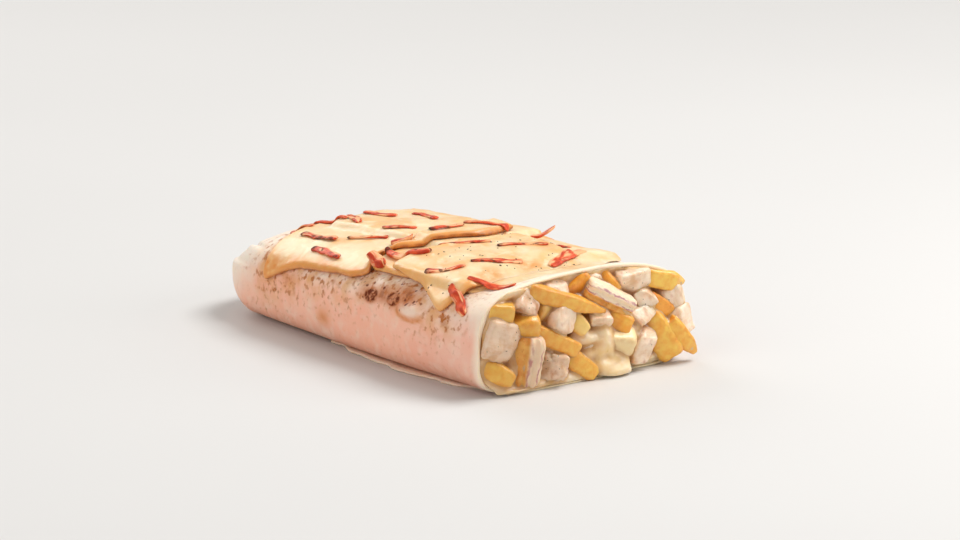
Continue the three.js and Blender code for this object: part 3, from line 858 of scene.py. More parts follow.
@dataclass(frozen=True)
class Parcel:
    """The skin's form: squarish sections that narrow and flatten towards the folded end."""

    length: float = 198.8
    half_width: float = 56.0
    height: float = 46.6
    sag: float = 2.6
    bare_rim: float = 12.0
    cut_x: float = 97.0
    wall: float = 2.0
    end_width_share: float = 0.8
    end_height_share: float = 0.845
    taper: float = 1.2
    foot: float = 0.6
    front: float = 3.0
    back: float = 2.35
    bottom: float = 5.0
    nose_width: tuple[float, float] = (39.0, 3.2)
    nose_height: tuple[float, float] = (36.0, 1.5)
    bumps: tuple[tuple[float, float, float], ...] = ((0.55, 27, 0), (0.3, 12, 50))
    bumpy_from: float = 9.0
    steps: int = 90
    chunk: int = 6000
    lumps: Lumps = field(default_factory=lambda: Lumps(3))

    @property
    def end_x(self) -> float:
        """Gives where the folded end is."""
        return self.cut_x - self.length

    def half_axes(self, x: Array, inset: float) -> tuple[Array, Array, Array]:
        """Gives the widest line's height and the half sizes of the sections at x, drawn in by `inset`."""
        reached = np.minimum(x, self.cut_x) - self.end_x - inset
        distance = np.maximum(0, reached * self.length / (self.length - inset))
        taper = np.sin(np.minimum(1, distance * self.taper / self.length) * np.pi / 2)
        sag = self.sag * (1 - smooth((x - self.cut_x + self.bare_rim) / self.bare_rim))
        belt = (self.height * mix(self.end_height_share, 1, taper) - sag) / 2
        width = self.half_width * mix(self.end_width_share, 1, taper) * cap(distance, *self.nose_width)
        height = belt * cap(distance, *self.nose_height)
        return belt, width * (1 - inset / self.half_width), height * (1 - 2 * inset / self.height)

    def walk(self, x: Array, way: Array, inset: float = 0, by_share: bool = False) -> tuple[Array, Array]:
        """Walks round sections from the ridge.

        Args:
            x: places along the parcel.
            way: distances, positive to the front, or shares of the way to the middle of the underside.
            inset: draws the sections in.
            by_share: says that `way` is in shares.

        Returns:
            The points reached, xyz along the last axis, and their distances from the ridge.
        """
        x, way = np.broadcast_arrays(np.asarray(x, float), np.asarray(way, float))
        points, walked = np.empty((x.size, 3)), np.empty(x.size)
        for start in range(0, x.size, self.chunk):
            part = slice(start, start + self.chunk)
            points[part], walked[part] = self._walk(x.ravel()[part], way.ravel()[part], inset, by_share)
        return points.reshape(*x.shape, 3), walked.reshape(x.shape)

    def _walk(self, x: Array, way: Array, inset: float, by_share: bool) -> tuple[Array, Array]:
        """Does walk() for a part of the places."""
        belt, width, height = self.half_axes(x, inset)
        angle = np.linspace(0, np.pi, self.steps + 1)
        sine, cosine = np.clip(np.sin(angle), 0, 1), np.cos(angle)
        tables = []
        for top in (self.back, self.front):
            fullness = np.where(cosine >= 0, top, self.bottom)
            tables.append((sine ** (2 / fullness), np.sign(cosine) * np.abs(cosine) ** (2 / fullness)))
        ahead = (way >= 0).astype(int)
        outward, upward = [np.array([pair[i] for pair in tables])[ahead] for i in (0, 1)]
        y = -np.where(ahead, 1, -1)[:, None] * width[:, None] * outward
        z = np.maximum(belt[:, None] + height[:, None] * upward, self.foot) - self.foot
        run = np.zeros_like(y)
        run[:, 1:] = np.cumsum(np.hypot(np.diff(y), np.diff(z)), axis=1)
        distance = np.abs(way) * (run[:, -1] if by_share else 1)
        high = np.clip((run < distance[:, None]).sum(axis=1), 1, self.steps)
        row = np.arange(x.size)
        share = (distance - run[row, high - 1]) / np.maximum(1e-9, run[row, high] - run[row, high - 1])
        share = np.clip(share, 0, 1)
        sides = [mix(axis[row, high - 1], axis[row, high], share) for axis in (y, z)]
        return np.stack([x, *sides], axis=1), np.where(way < 0, -distance, distance)

    def unevenness(self, points: Array) -> Array:
        """Gives how far the filling pushes the skin out of its even form."""
        fade = smooth(points[..., 2] / self.bumpy_from)
        return fade * sum(height * self.lumps.at(points + shift, size) for height, size, shift in self.bumps)

    def reach(self, points: Array, inset: float) -> Array:
        """Gives how near points are to their section drawn in by `inset`: 0 in its middle, 1 on it."""
        belt, width, height = self.half_axes(np.minimum(points[..., 0], self.cut_x), inset)
        y, rise = points[..., 1], points[..., 2] + self.foot - belt
        fullness = np.where(rise >= 0, np.where(y < 0, self.front, self.back), self.bottom)
        return ((np.abs(y) / width) ** fullness + (np.abs(rise) / height) ** fullness) ** (1 / fullness)

    def confine(self, points: Array, inset: float = 1.1, start: float = 0.92, margin: float = 0.03) -> Array:
        """Presses points near the cut inside the tortilla, except where they stand out of it.

        Args:
            points: xyz along the last axis.
            inset: how far inside the skin they stay.
            start: the reach from which they are pressed.
            margin: how much further in they stay behind the cut.

        Returns:
            The moved points.
        """
        limit, lowest = 0.99, 0.4
        reach = self.reach(points, inset)
        soft = limit - start
        pressed = np.where(reach > start, start + soft * np.tanh((reach - start) / soft), reach)
        pressed = pressed * (1 - margin * smooth((self.cut_x - 1 - points[..., 0]) / 3))
        out = smooth((points[..., 0] - self.cut_x) / 2 - 0.5)
        share = mix(pressed / np.maximum(reach, 1e-6), 1, out)
        belt = self.half_axes(np.minimum(points[..., 0], self.cut_x), inset)[0] - self.foot
        moved = np.stack([points[..., 0], points[..., 1] * share, mix(belt, points[..., 2], share)], axis=-1)
        moved[..., 2] = np.maximum(moved[..., 2], lowest)
        return moved

    def above(self, x: Array, t: Array, lift: float | Array) -> Array:
        """Gives points at a height above the outer skin.

        Args:
            x: places along the parcel.
            t: distances from the ridge.
            lift: the height.

        Returns:
            The points, xyz along the last axis.
        """
        along = self.walk(x + 1, t)[0] - self.walk(x - 1, t)[0]
        across = self.walk(x, t + 1)[0] - self.walk(x, t - 1)[0]
        here = self.walk(x, t)[0]
        out = unit(np.cross(across, along))
        return here + out * (lift + self.unevenness(here))[..., None]


# ---- cheese slices


@dataclass(frozen=True)
class Patch:
    """An oval place on the skin: its middle, its half sizes, and how strong or how high it is."""

    FADED = 1.25

    x: float
    t: float
    along: float
    across: float
    strength: float

    def at(self, x: Array, t: Array, hardness: float) -> Array:
        """Gives the patch's strength at places on the skin."""
        distance = np.hypot((x - self.x) / self.along, (t - self.t) / self.across)
        return self.strength * smooth((self.FADED - distance) * 2 * hardness)


def patched(patches: tuple[Patch, ...], x: Array, t: Array, hardness: float) -> Array:
    """Adds up the strengths of patches at places on the skin."""
    return sum(patch.at(x, t, hardness) for patch in patches)


@dataclass
class CheeseSlice:
    """One melted slice, draped over the skin and the slices below it."""

    place: str
    corners: list[tuple[float, float]]
    order: int
    pepper: float = 0.0
    rind: float = 0.8
    melted_from: float = 200.0
    melted_to_t: float = 200.0
    flattening: float = 0.75
    thickness: float = 2.0
    melted_over: tuple[float, float] = (10.0, 8.0)
    corner_round: float = 6.5
    corner_steps: int = 9
    samples: int = 240
    coarse: int = 4
    wobble: float = 0.7
    wobble_size: float = 9.0
    edge_round: float = 1.9
    melted_round: float = 9.0
    bead: float = 0.35
    bead_place: float = 2.4
    bead_width: float = 1.7
    swell: float = 0.22
    swell_size: float = 12.0
    film_sink: float = 0.7
    film_rise: float = 0.35
    edge_width: float = 3.4
    rind_width: float = 2.8
    line_width: float = 0.45
    edge_steps: tuple[float, ...] = (0, 0.06, 0.22, 0.5, 0.85, 1.3, 1.9, 2.7, 3.7, 5.0)
    inner_rings: int = 30
    lumps: Lumps = field(default_factory=lambda: Lumps(11))
    ring: Array = field(init=False)

    def __post_init__(self) -> None:
        """Rounds the outline's corners and roughens it a little."""
        corners = np.array(self.corners, float)
        path: list[Array] = []
        for i, corner in enumerate(corners):
            ends = [corners[i - 1], corners[(i + 1) % len(corners)]]
            before, after = [
                mix(corner, end, min(0.5, self.corner_round / np.linalg.norm(end - corner))) for end in ends
            ]
            share = np.linspace(0, 1, self.corner_steps)[:, None]
            path.append(mix(mix(before, corner, share), mix(corner, after, share), share))
        closed = np.concatenate([*path, path[0][:1]])
        run = np.concatenate([[0], np.cumsum(np.linalg.norm(np.diff(closed, axis=0), axis=1))])
        wanted = np.linspace(0, run[-1], self.samples, endpoint=False)
        even = np.stack([np.interp(wanted, run, closed[:, i]) for i in (0, 1)], axis=1)
        flat = np.concatenate([even, np.full((len(even), 1), 13.0 * self.order)], axis=1)
        wave = self.lumps.at(flat, self.wobble_size, 2) * self.wobble
        self.ring = even + unit(even - even.mean(axis=0)) * wave[:, None]

    def inside(self, x: Array, t: Array) -> Array:
        """Gives the distance inside the outline, negative outside it."""
        coarse = self.ring[:: self.coarse]
        nearest = np.full(x.shape, np.inf)
        within = np.zeros(x.shape, bool)
        for a, b in zip(coarse, np.roll(coarse, -1, axis=0)):
            dx, dt = b - a
            share = np.clip(((x - a[0]) * dx + (t - a[1]) * dt) / (dx * dx + dt * dt), 0, 1)
            nearest = np.minimum(nearest, np.hypot(x - a[0] - dx * share, t - a[1] - dt * share))
            if dt:
                within ^= ((a[1] > t) != (b[1] > t)) & (x < a[0] + dx * (t - a[1]) / dt)
        return np.where(within, nearest, -nearest)

    def melted(self, x: Array, t: Array) -> Array:
        """Gives how far the slice has melted down at places on the skin, from 0 to 1."""
        along, across = self.melted_over
        return smooth((x - self.melted_from) / along) * smooth((self.melted_to_t - t) / across)

    def sheet(self, parcel: Parcel, below: "Stack", top: bool) -> tuple[Array, Array]:
        """Lays out one side of the slice.

        Args:
            parcel: what it is draped over.
            below: the slices under it.
            top: makes the upper side.

        Returns:
            Rings of points from the middle to the edge, and for each point how close it is to the edge, how
            golden it is, how much rind shows and how much painted shadow darkens its very edge, from 0 to 1.
        """
        middle = self.ring.mean(axis=0)
        reach = np.linalg.norm(self.ring - middle, axis=1)
        steps = np.array(self.edge_steps)[:, None]
        outer = 1 - steps / reach
        inner = outer[-1] * np.linspace(0.97, 0.02, self.inner_rings)[:, None]
        share = np.concatenate([outer, inner])[::-1]
        x, t = np.moveaxis(middle + share[..., None] * (self.ring - middle), -1, 0)
        distance = (1 - share) * reach
        melted = self.melted(x, t)
        rounded_over = mix(self.edge_round, self.melted_round, melted)
        rounding = np.sqrt(1 - (1 - np.clip(distance / rounded_over, 0, 1)) ** 2)
        flat = np.stack([x, t, np.full(x.shape, 40.0 * self.order)], axis=-1)
        bead = self.bead * np.exp(-(((distance - self.bead_place) / self.bead_width) ** 2))
        swell = bead + self.swell * self.lumps.at(flat, self.swell_size, 2)
        half = self.thickness / 2
        lift = half + (half + swell * rounding) * rounding if top else half - (half + 0.2) * rounding
        lift = lift * (1 - self.flattening * melted) - (self.film_sink - self.film_rise * rounding) * melted
        lift = lift + patched(below.puffed, x, t, 0.3)
        points = parcel.above(x, t, below.height(x, t, self.order) + lift)
        edge = np.exp(-distance / self.edge_width) * (1 - melted)
        gold = np.clip(patched(below.golden, x, t, 0.4), 0, 1)
        rind = self.rind * smooth((self.rind_width - distance) / 2.0) * (1 - melted)
        # The very edge darkens as painted edge shadow, with browned grease.
        line = self.rind * np.exp(-distance / self.line_width) * (1 - melted)
        return points, np.stack([edge, gold, rind, line])

    def make(self, parcel: Parcel, below: "Stack") -> bpy.types.Mesh:
        """Builds the slice's mesh.

        Args:
            parcel: what it is draped over.
            below: the slices under it.

        Returns:
            The mesh, with the values that its finish reads.
        """
        (low, low_looks), (high, high_looks) = [self.sheet(parcel, below, top) for top in (False, True)]
        rings = np.concatenate([low, high[-2::-1]])
        edge, gold, rind, line = np.concatenate([low_looks, high_looks[:, -2::-1]], axis=1)
        under = np.repeat([1.0, 0.0], [len(low), len(high) - 1])[:, None] * np.ones(self.samples)
        points, faces = loft(rings)
        top = smooth((0.5 - under) * 2) * smooth((0.9 - edge) / 0.5)
        fields = {"edge": edge, "gold": gold, "rind": rind}
        # `under` darkens the underside and the very edge: browned grease with painted shade.
        fields |= {"under": mix(line, edge, under), "scatter": top * self.pepper}
        values = {name: ring_values(value) for name, value in fields.items()}
        return make_mesh("melted_slice_" + self.place, points, faces, values)


@dataclass
class Stack:
    """The four slices as they lie on each other, from the lowest to the topmost."""

    rest: float = 0.4
    step: float = 2.5
    drape_before: float = 3.5
    drape_length: float = 4.0
    slices: list[CheeseSlice] = field(
        default_factory=lambda: [
            CheeseSlice("back", [(-52, -60), (20, -56), (31, 18), (-50, 20)], 0),
            CheeseSlice(
                "right",
                [(12, 47), (80, 46), (89, 24), (91, -4), (78, -37), (8, -36)],
                order=1, pepper=0.3, rind=0.4, melted_from=72,
            ),
            CheeseSlice(
                "left",
                [
                    (-56, 58.5), (-49, 57), (-37, 53), (-13, 52), (10, 52.5), (17, 49), (9, 34), (17, 25),
                    (30, 0), (26, -22), (-64, -27),
                ],
                order=2, pepper=0.1, rind=1.0, corner_round=5.0,
            ),
            CheeseSlice(
                "front",
                [(28, 46), (52, 49), (73, 58), (80, 42), (82, -12), (33, -16)],
                order=3, pepper=1.0, rind=0.35, melted_from=66, melted_to_t=44,
                thickness=2.3, corner_round=2.5,
            ),
        ]
    )
    puffed: tuple[Patch, ...] = (Patch(74, -27, 20, 14, 1.3), Patch(-57, 57, 8, 6, 0.8))
    golden: tuple[Patch, ...] = (
        Patch(75, 12, 10, 9, 0.9),
        Patch(76, 32, 8, 9, 0.9),
        Patch(82, 42, 9, 6, 0.8),
        Patch(84, -6, 8, 10, 0.5),
        Patch(-54, 54, 12, 8, 1.5),
        Patch(-35, 52, 14, 5.0, 1.0),
        Patch(-13, 50.5, 14, 4.6, 0.9),
        Patch(8, 50.5, 10, 4.6, 0.9),
        Patch(58, 38, 12, 7, 0.4),
        Patch(13, 30, 7, 12, 0.35),
        Patch(40, 20, 12, 8, 0.35),
        Patch(62, -6, 12, 8, 0.35),
        Patch(-10, -38, 26, 12, 0.3),
    )

    def height(self, x: Array, t: Array, count: int) -> Array:
        """Gives the height above the skin of what lies on the first `count` slices."""
        total = np.full(np.shape(x), self.rest)
        for piece in self.slices[:count]:
            cover = smooth((piece.inside(x, t) + self.drape_before) / self.drape_length)
            total = total + self.step * cover * (1 - piece.flattening * piece.melted(x, t))
        return total

    def top(self, x: Array, t: Array) -> Array:
        """Gives the height above the skin of what lies on all slices."""
        return self.height(x, t, len(self.slices))

    def beyond(self, x: Array, t: Array) -> Array:
        """Gives the distance outside all slices, negative under them."""
        return -np.max([piece.inside(x, t) for piece in self.slices], axis=0)

    def build(self, parcel: Parcel) -> list[bpy.types.Mesh]:
        """Makes and dresses the slices.

        Args:
            parcel: what they are draped over.

        Returns:
            Their meshes.
        """
        finish = CheeseFinish().make()
        meshes = [piece.make(parcel, self) for piece in self.slices]
        for piece, mesh in zip(self.slices, meshes):
            show(mesh, ["cheese_slice_" + piece.place], finish)
        return meshes


# ---- tortilla


@dataclass(frozen=True)
class Pleat:
    """A pleat at the folded end, with a ridge beside it: its place round the section, depth and reach."""

    around: float
    depth: float
    reach: float
    slant: float = 0.006
    width: float = 0.011
    ridge_apart: float = 0.025
    ridge_width: float = 0.02
    fade: float = 18.0

    def at(self, x: Array, around: Array, end_x: float) -> Array:
        """Gives the pleat's depth at places on the skin, whose folded end is at `end_x`."""
        off = around - self.around * (1 + self.slant * (x - end_x))
        ridge = np.exp(-(((off - self.ridge_apart) / self.ridge_width) ** 2))
        line = np.exp(-((off / self.width) ** 2)) - 0.5 * ridge
        return self.depth * line * smooth((end_x + self.reach - x) / self.fade)


@dataclass
class Tortilla:
    """The folded wrap, open at the cut, and the loose edge that comes out from under it along the front."""

    parcel: Parcel
    stack: Stack
    around: int = 300
    outer_rings: int = 205
    inner_rings: int = 34
    rim_rings: int = 6
    cap_shares: tuple[float, ...] = (0.04, 0.2, 0.4, 0.6, 0.8)
    first_ring: float = 0.35
    ring_spread: float = 1.25
    under_lip: float = 3.0
    lip_from: tuple[float, float] = (0.84, 0.66)
    rim_wave: float = 0.7
    rim_rag: float = 0.35
    notch_place: float = -0.48
    notch_width: float = 0.12
    notch_depth: float = 3.5
    thinned: float = 0.4
    thinned_over: float = 12.0
    shoulder_wall: float = 1.4
    shoulder_place: float = 0.34
    shoulder_width: float = 0.1
    flap: float = 1.5
    flap_reach: float = 34.0
    flap_from: float = 0.47
    flap_to: float = 0.86
    pleats: tuple[Pleat, ...] = (
        Pleat(0.3, 1.0, 40),
        Pleat(0.13, 0.7, 26),
        Pleat(-0.2, 0.9, 34),
        Pleat(-0.36, 0.8, 28),
    )
    lumps: Lumps = field(default_factory=lambda: Lumps(23))
    toasted: tuple[Patch, ...] = (
        Patch(24, 56.5, 11, 6, 0.38),
        Patch(23.5, 58, 4.6, 3.4, 0.75),
        Patch(40, 56, 13, 7, 0.42),
        Patch(39, 57.5, 3.8, 3.0, 0.95),
        Patch(51, 54, 9, 6, 0.33),
        Patch(-30, -78, 7, 6, 0.7),
        Patch(35, -72, 10, 6, 0.8),
        Patch(66, -60, 6, 5, 0.6),
        Patch(-70, -30, 6, 5, 0.5),
    )
    tanned: tuple[Patch, ...] = (
        Patch(-10.5, 71, 7.5, 5.4, 0.95),
        Patch(46, 57, 17, 9, 0.7),
        Patch(22, 58, 10, 6, 0.6),
        Patch(-38, 57, 13, 5, 0.6),
        Patch(-60, 62, 9, 6, 0.4),
        Patch(-50, -60, 6, 5, 0.5),
        Patch(20, -70, 9, 5, 0.5),
    )
    blisters: tuple[Patch, ...] = (
        Patch(53, 60.5, 9, 3.0, 1.5),
        Patch(10, 56.5, 9, 4.5, 0.6),
        Patch(-10.5, 71, 6.5, 5.2, 0.5),
        Patch(-40, 66, 6, 5, 0.4),
        Patch(10, -70, 8, 6, 0.8),
        Patch(60, -66, 6, 4, 0.7),
    )

    def rim(self, around: Array) -> Array:
        """Gives where the cut edge is, round the section."""
        start = np.where(around < 0, *self.lip_from)
        under = self.under_lip * smooth((np.abs(around) - start) / 0.1)
        wave = self.rim_wave * np.sin(around * 11) * np.cos(around * 5)
        flat = np.stack([around * 60, around * 0, around * 0 + 5], axis=-1)
        notch = self.notch_depth * np.exp(-(((around - self.notch_place) / self.notch_width) ** 2))
        return self.parcel.cut_x + under + wave + (self.rim_rag * self.lumps.at(flat, 2.5, 2) - notch)

    def folds(self, x: Array, around: Array) -> Array:
        """Gives how far the flap and the pleats at the folded end stand out."""
        end_x = self.parcel.end_x
        near = smooth((end_x + self.flap_reach - x) / 8)
        edge = self.flap_from + 0.05 * np.sin(around * 9)
        flap = smooth((np.abs(around) - edge) / 0.018) * smooth((self.flap_to - np.abs(around)) / 0.1)
        return self.flap * flap * near - sum(pleat.at(x, around, end_x) for pleat in self.pleats)

    def outside(self, around: Array) -> tuple[Array, Array, Array]:
        """Lays out the outer skin.

        Args:
            around: places round the section.

        Returns:
            Rings of points from the folded end to the rim, with their places along and round the skin.
        """
        even = (np.arange(self.outer_rings + 1) + self.first_ring) / (self.outer_rings + self.first_ring)
        x = mix(self.parcel.end_x, self.rim(around), (even**self.ring_spread)[:, None])
        points, t = self.parcel.walk(x, around[None] * np.ones_like(x), by_share=True)
        middle = points[0].mean(axis=0)
        shares = np.array(self.cap_shares)[:, None, None]
        closing = mix(middle, points[0], shares)
        closing[..., 0] -= 0.3 * (1 - shares[..., 0] ** 2)
        points = np.concatenate([closing, points])
        t = np.concatenate([shares[..., 0] * t[0], t])
        x = points[..., 0]
        along = np.gradient(points, axis=0)
        across = np.roll(points, -1, axis=1) - np.roll(points, 1, axis=1)
        out = unit(np.cross(across, along))
        raised = self.parcel.unevenness(points) + self.folds(x, np.broadcast_to(around, x.shape))
        raised += patched(self.blisters, x, t, 0.7)
        points = points + out * raised[..., None]
        points[..., 2] = np.maximum(0, points[..., 2])
        return points, x, t

    def inside(self, around: Array) -> tuple[Array, Array, Array]:
        """Lays out the inner side, from the rim inwards, as outside() does the outer one."""
        share = 1 - np.linspace(0, 1, self.inner_rings + 1) ** 2 * 0.999
        x = mix(self.parcel.end_x + self.parcel.wall, self.rim(around), share[:, None])
        points, t = self.parcel.walk(x, around[None] * np.ones_like(x), self.parcel.wall, by_share=True)
        outer, _ = self.parcel.walk(x, around[None] * np.ones_like(x), by_share=True)
        shoulder = np.exp(-(((around - self.shoulder_place) / self.shoulder_width) ** 2))
        near = 1 - smooth((self.parcel.cut_x - x) / self.thinned_over)
        thinned = (self.thinned - self.shoulder_wall * shoulder) * near
        return mix(points, outer, thinned[..., None]), x, t

    def looks(self, x: Array, t: Array, around: Array) -> dict[str, Array]:
        """Gives the values that the dough's finish reads, all but `inner`.

        Args:
            x: places along the parcel.
            t: distances from the ridge.
            around: the same as shares.

        Returns:
            Values, mostly from 0 to 1, by name.
        """
        beyond = self.stack.beyond(x, t)
        near_slices = smooth(1 - beyond / 17) * smooth(beyond / 4 + 1)
        rim_width = mix(22, 5, smooth((np.abs(around) - 0.36) / 0.08))
        pale = self.blisters[0].at(x, t, 0.4) + self.blisters[1].at(x, t, 0.3)
        blister_edge = self.blisters[0].at(x + 0.6, t - 1.6, 0.9)
        near_end = smooth((self.parcel.end_x + 46 - x) / 44)
        side_from, side_over = mix(0.35, 0.44, near_end), mix(0.13, 0.3, near_end)
        return {
            # Pink sides: partly the dough's tone, partly painted red bounce light. It fades near the folded
            # end, whose cream stands partly for a painted highlight.
            "blush_and_red_bounce": smooth((np.abs(around) - side_from) / side_over) * mix(1, 0.85, near_end),
            "toast": patched(self.toasted, x, t, 0.7),
            "tan": patched(self.tanned, x, t, 0.4) + np.clip(blister_edge - pale, 0, 1),
            "pale": pale,
            "grease": near_slices * smooth((t + 20) / 30) * smooth((90 - x) / 14),
            "freckle": np.clip(1.15 - beyond / 21, 0.12, 1) * smooth((100 - np.abs(t)) / 20),
            "rimmed": smooth(1 - (self.rim(around) - x) / rim_width),
        }

    def build_wrap(self) -> bpy.types.Mesh:
        """Builds the wrap as one closed surface."""
        around = np.linspace(-1, 1, self.around, endpoint=False)
        outer, outer_x, outer_t = self.outside(around)
        inner, inner_x, inner_t = self.inside(around)
        turn = np.linspace(0, np.pi, self.rim_rings + 2)[1:-1, None, None]
        middle, half = (outer[-1] + inner[0]) / 2, (outer[-1] - inner[0]) / 2
        rim = middle + np.cos(turn) * half + np.sin(turn) * np.array([0.6, 0, 0])
        points, faces = loft(np.concatenate([outer, rim, inner]))
        rows = len(rim)
        x = np.concatenate([outer_x, np.repeat(outer_x[-1:], rows, 0), inner_x])
        t = np.concatenate([outer_t, np.repeat(outer_t[-1:], rows, 0), inner_t])
        soaked_rim = 0.35
        under = smooth((np.abs(around) - 0.62) / 0.08)
        soaked = np.repeat([0, soaked_rim, 1], [len(outer), rows, len(inner)])[:, None] * np.ones(self.around)
        soaked[len(outer) : len(outer) + rows] = mix(soaked_rim, 1, under)
        fields = {**self.looks(x, t, around), "inner": soaked}
        values = {name: ring_values(np.clip(value, 0, 1)) for name, value in fields.items()}
        skin_map = np.stack([ring_values(x), ring_values(t)], axis=1) / 100
        return make_mesh("tortilla_wrap", points, faces, values, skin_map)

    def build_loose_edge(self) -> bpy.types.Mesh:
        """Builds the loose edge as a thin ragged strip."""
        start, widest, end = -17.0, 42.0, self.parcel.cut_x + self.under_lip - 1
        hidden_y, widest_y, drawn_in, thickness, curl = 36.0, 51.9, (8, 11), 1.0, 0.25
        x = np.linspace(start, end, 260)
        share = (x - widest) / np.where(x < widest, start - widest, end - widest)
        rough = self.lumps.at(np.stack([x, x * 0, x * 0], axis=-1), 6, 3)
        ragged = 0.7 * np.sin(x / 5) + 0.5 * np.sin(x / 2.7 + 1) + rough
        outer = widest_y + ragged - np.where(x < widest, *drawn_in) * share**2
        lift = curl + curl * self.lumps.at(np.stack([x, x * 0 + 9, x * 0], axis=-1), 14)
        section = [(0, 0), (0.5, 0), (0.97, 0), (1, 0.5), (0.97, 1), (0.75, 1.05), (0.5, 1), (0, 1)]
        rings = []
        for across, up in section:
            height = up * thickness + lift * across**3
            rings.append(np.stack([x, -mix(hidden_y, outer, across), np.maximum(0, height)], axis=-1))
        points, faces = loft(np.array(rings).transpose(1, 0, 2))
        t = np.repeat(110 - np.array([across for across, _ in section])[None] * 20, len(x), axis=0)
        looks = {"toast": 0, "grease": 0.35, "tan": 0, "pale": 0.7, "freckle": 0.6, "inner": 0.1}
        looks |= {"rimmed": 0, "blush_and_red_bounce": 0.1}
        values = {name: np.full(len(points), value) for name, value in looks.items()}
        skin_map = np.stack([points[:, 0], ring_values(t)], axis=1) / 100
        return make_mesh("tortilla_loose_edge", points, faces, values, skin_map)

    def build(self) -> None:
        """Makes and dresses both pieces."""
        finish = TortillaFinish().make()
        for mesh in (self.build_wrap(), self.build_loose_edge()):
            show(mesh, ["tortilla"], finish)


# ---- swept pieces


def rails(name: str, lines: list[dict[str, Array | float]]) -> bpy.types.Mesh:
    """Puts centre lines for the sweep into one mesh of edges.

    Args:
        name: the mesh's name.
        lines: for each line its `centre`, `side` and `lift` as xyz in millimetres or as directions, its
            `half_width` and `half_thick` in millimetres, and other values, for each point or for all.

    Returns:
        The mesh, with the values on its points.
    """
    parts: dict[str, list[Array]] = {}
    edges: list[tuple[int, int]] = []
    count = 0
    for line in lines:
        size = len(line["centre"])
        for key, values in line.items():
            if np.ndim(values) == 0:
                values = np.full(size, float(values))
            in_metres = MM if key in ("centre", "half_width", "half_thick") else 1
            parts.setdefault(key, []).append(np.asarray(values) * in_metres)
        edges += [(count + i, count + i + 1) for i in range(size - 1)]
        count += size
    columns = {key: np.concatenate(values) for key, values in parts.items()}
    mesh = bpy.data.meshes.new(name)
    mesh.from_pydata(columns["centre"].tolist(), edges, [])
    add_fields(mesh, columns)
    return mesh


def along_strip(length: float, width: float, blunt: float, rounding: float) -> tuple[Array, Array]:
    """Places a strip's sections so that its ends come out rounded.

    Args:
        length: the strip's length.
        width: its width.
        blunt: size of its ends, as a share.
        rounding: length of the rounded part, as a share of the width.

    Returns:
        Shares of the length, and each section's size as a share.
    """
    reach = min(rounding * width, length / 4)
    near = np.array([0, 0.05, 0.15, 0.3, 0.5, 0.75, 1]) * reach / length
    share = np.concatenate([near, np.linspace(near[-1], 1 - near[-1], 22)[1:-1], 1 - near[::-1]])
    gone = 1 - np.clip(np.minimum(share, 1 - share) * length / reach, 0, 1)
    return share, mix(blunt, 1, np.sqrt(1 - gone**2))


@dataclass(frozen=True)
class Strip:
    """A bacon strip on the cheese: its ends as (x, t), width, sideways bend, thickness, curl and look."""

    start: tuple[float, float]
    end: tuple[float, float]
    width: float
    bend: float = 0
    thick: float = 1.0
    curl: float = 0
    fat: float = 0.3
    char: float = 1.0


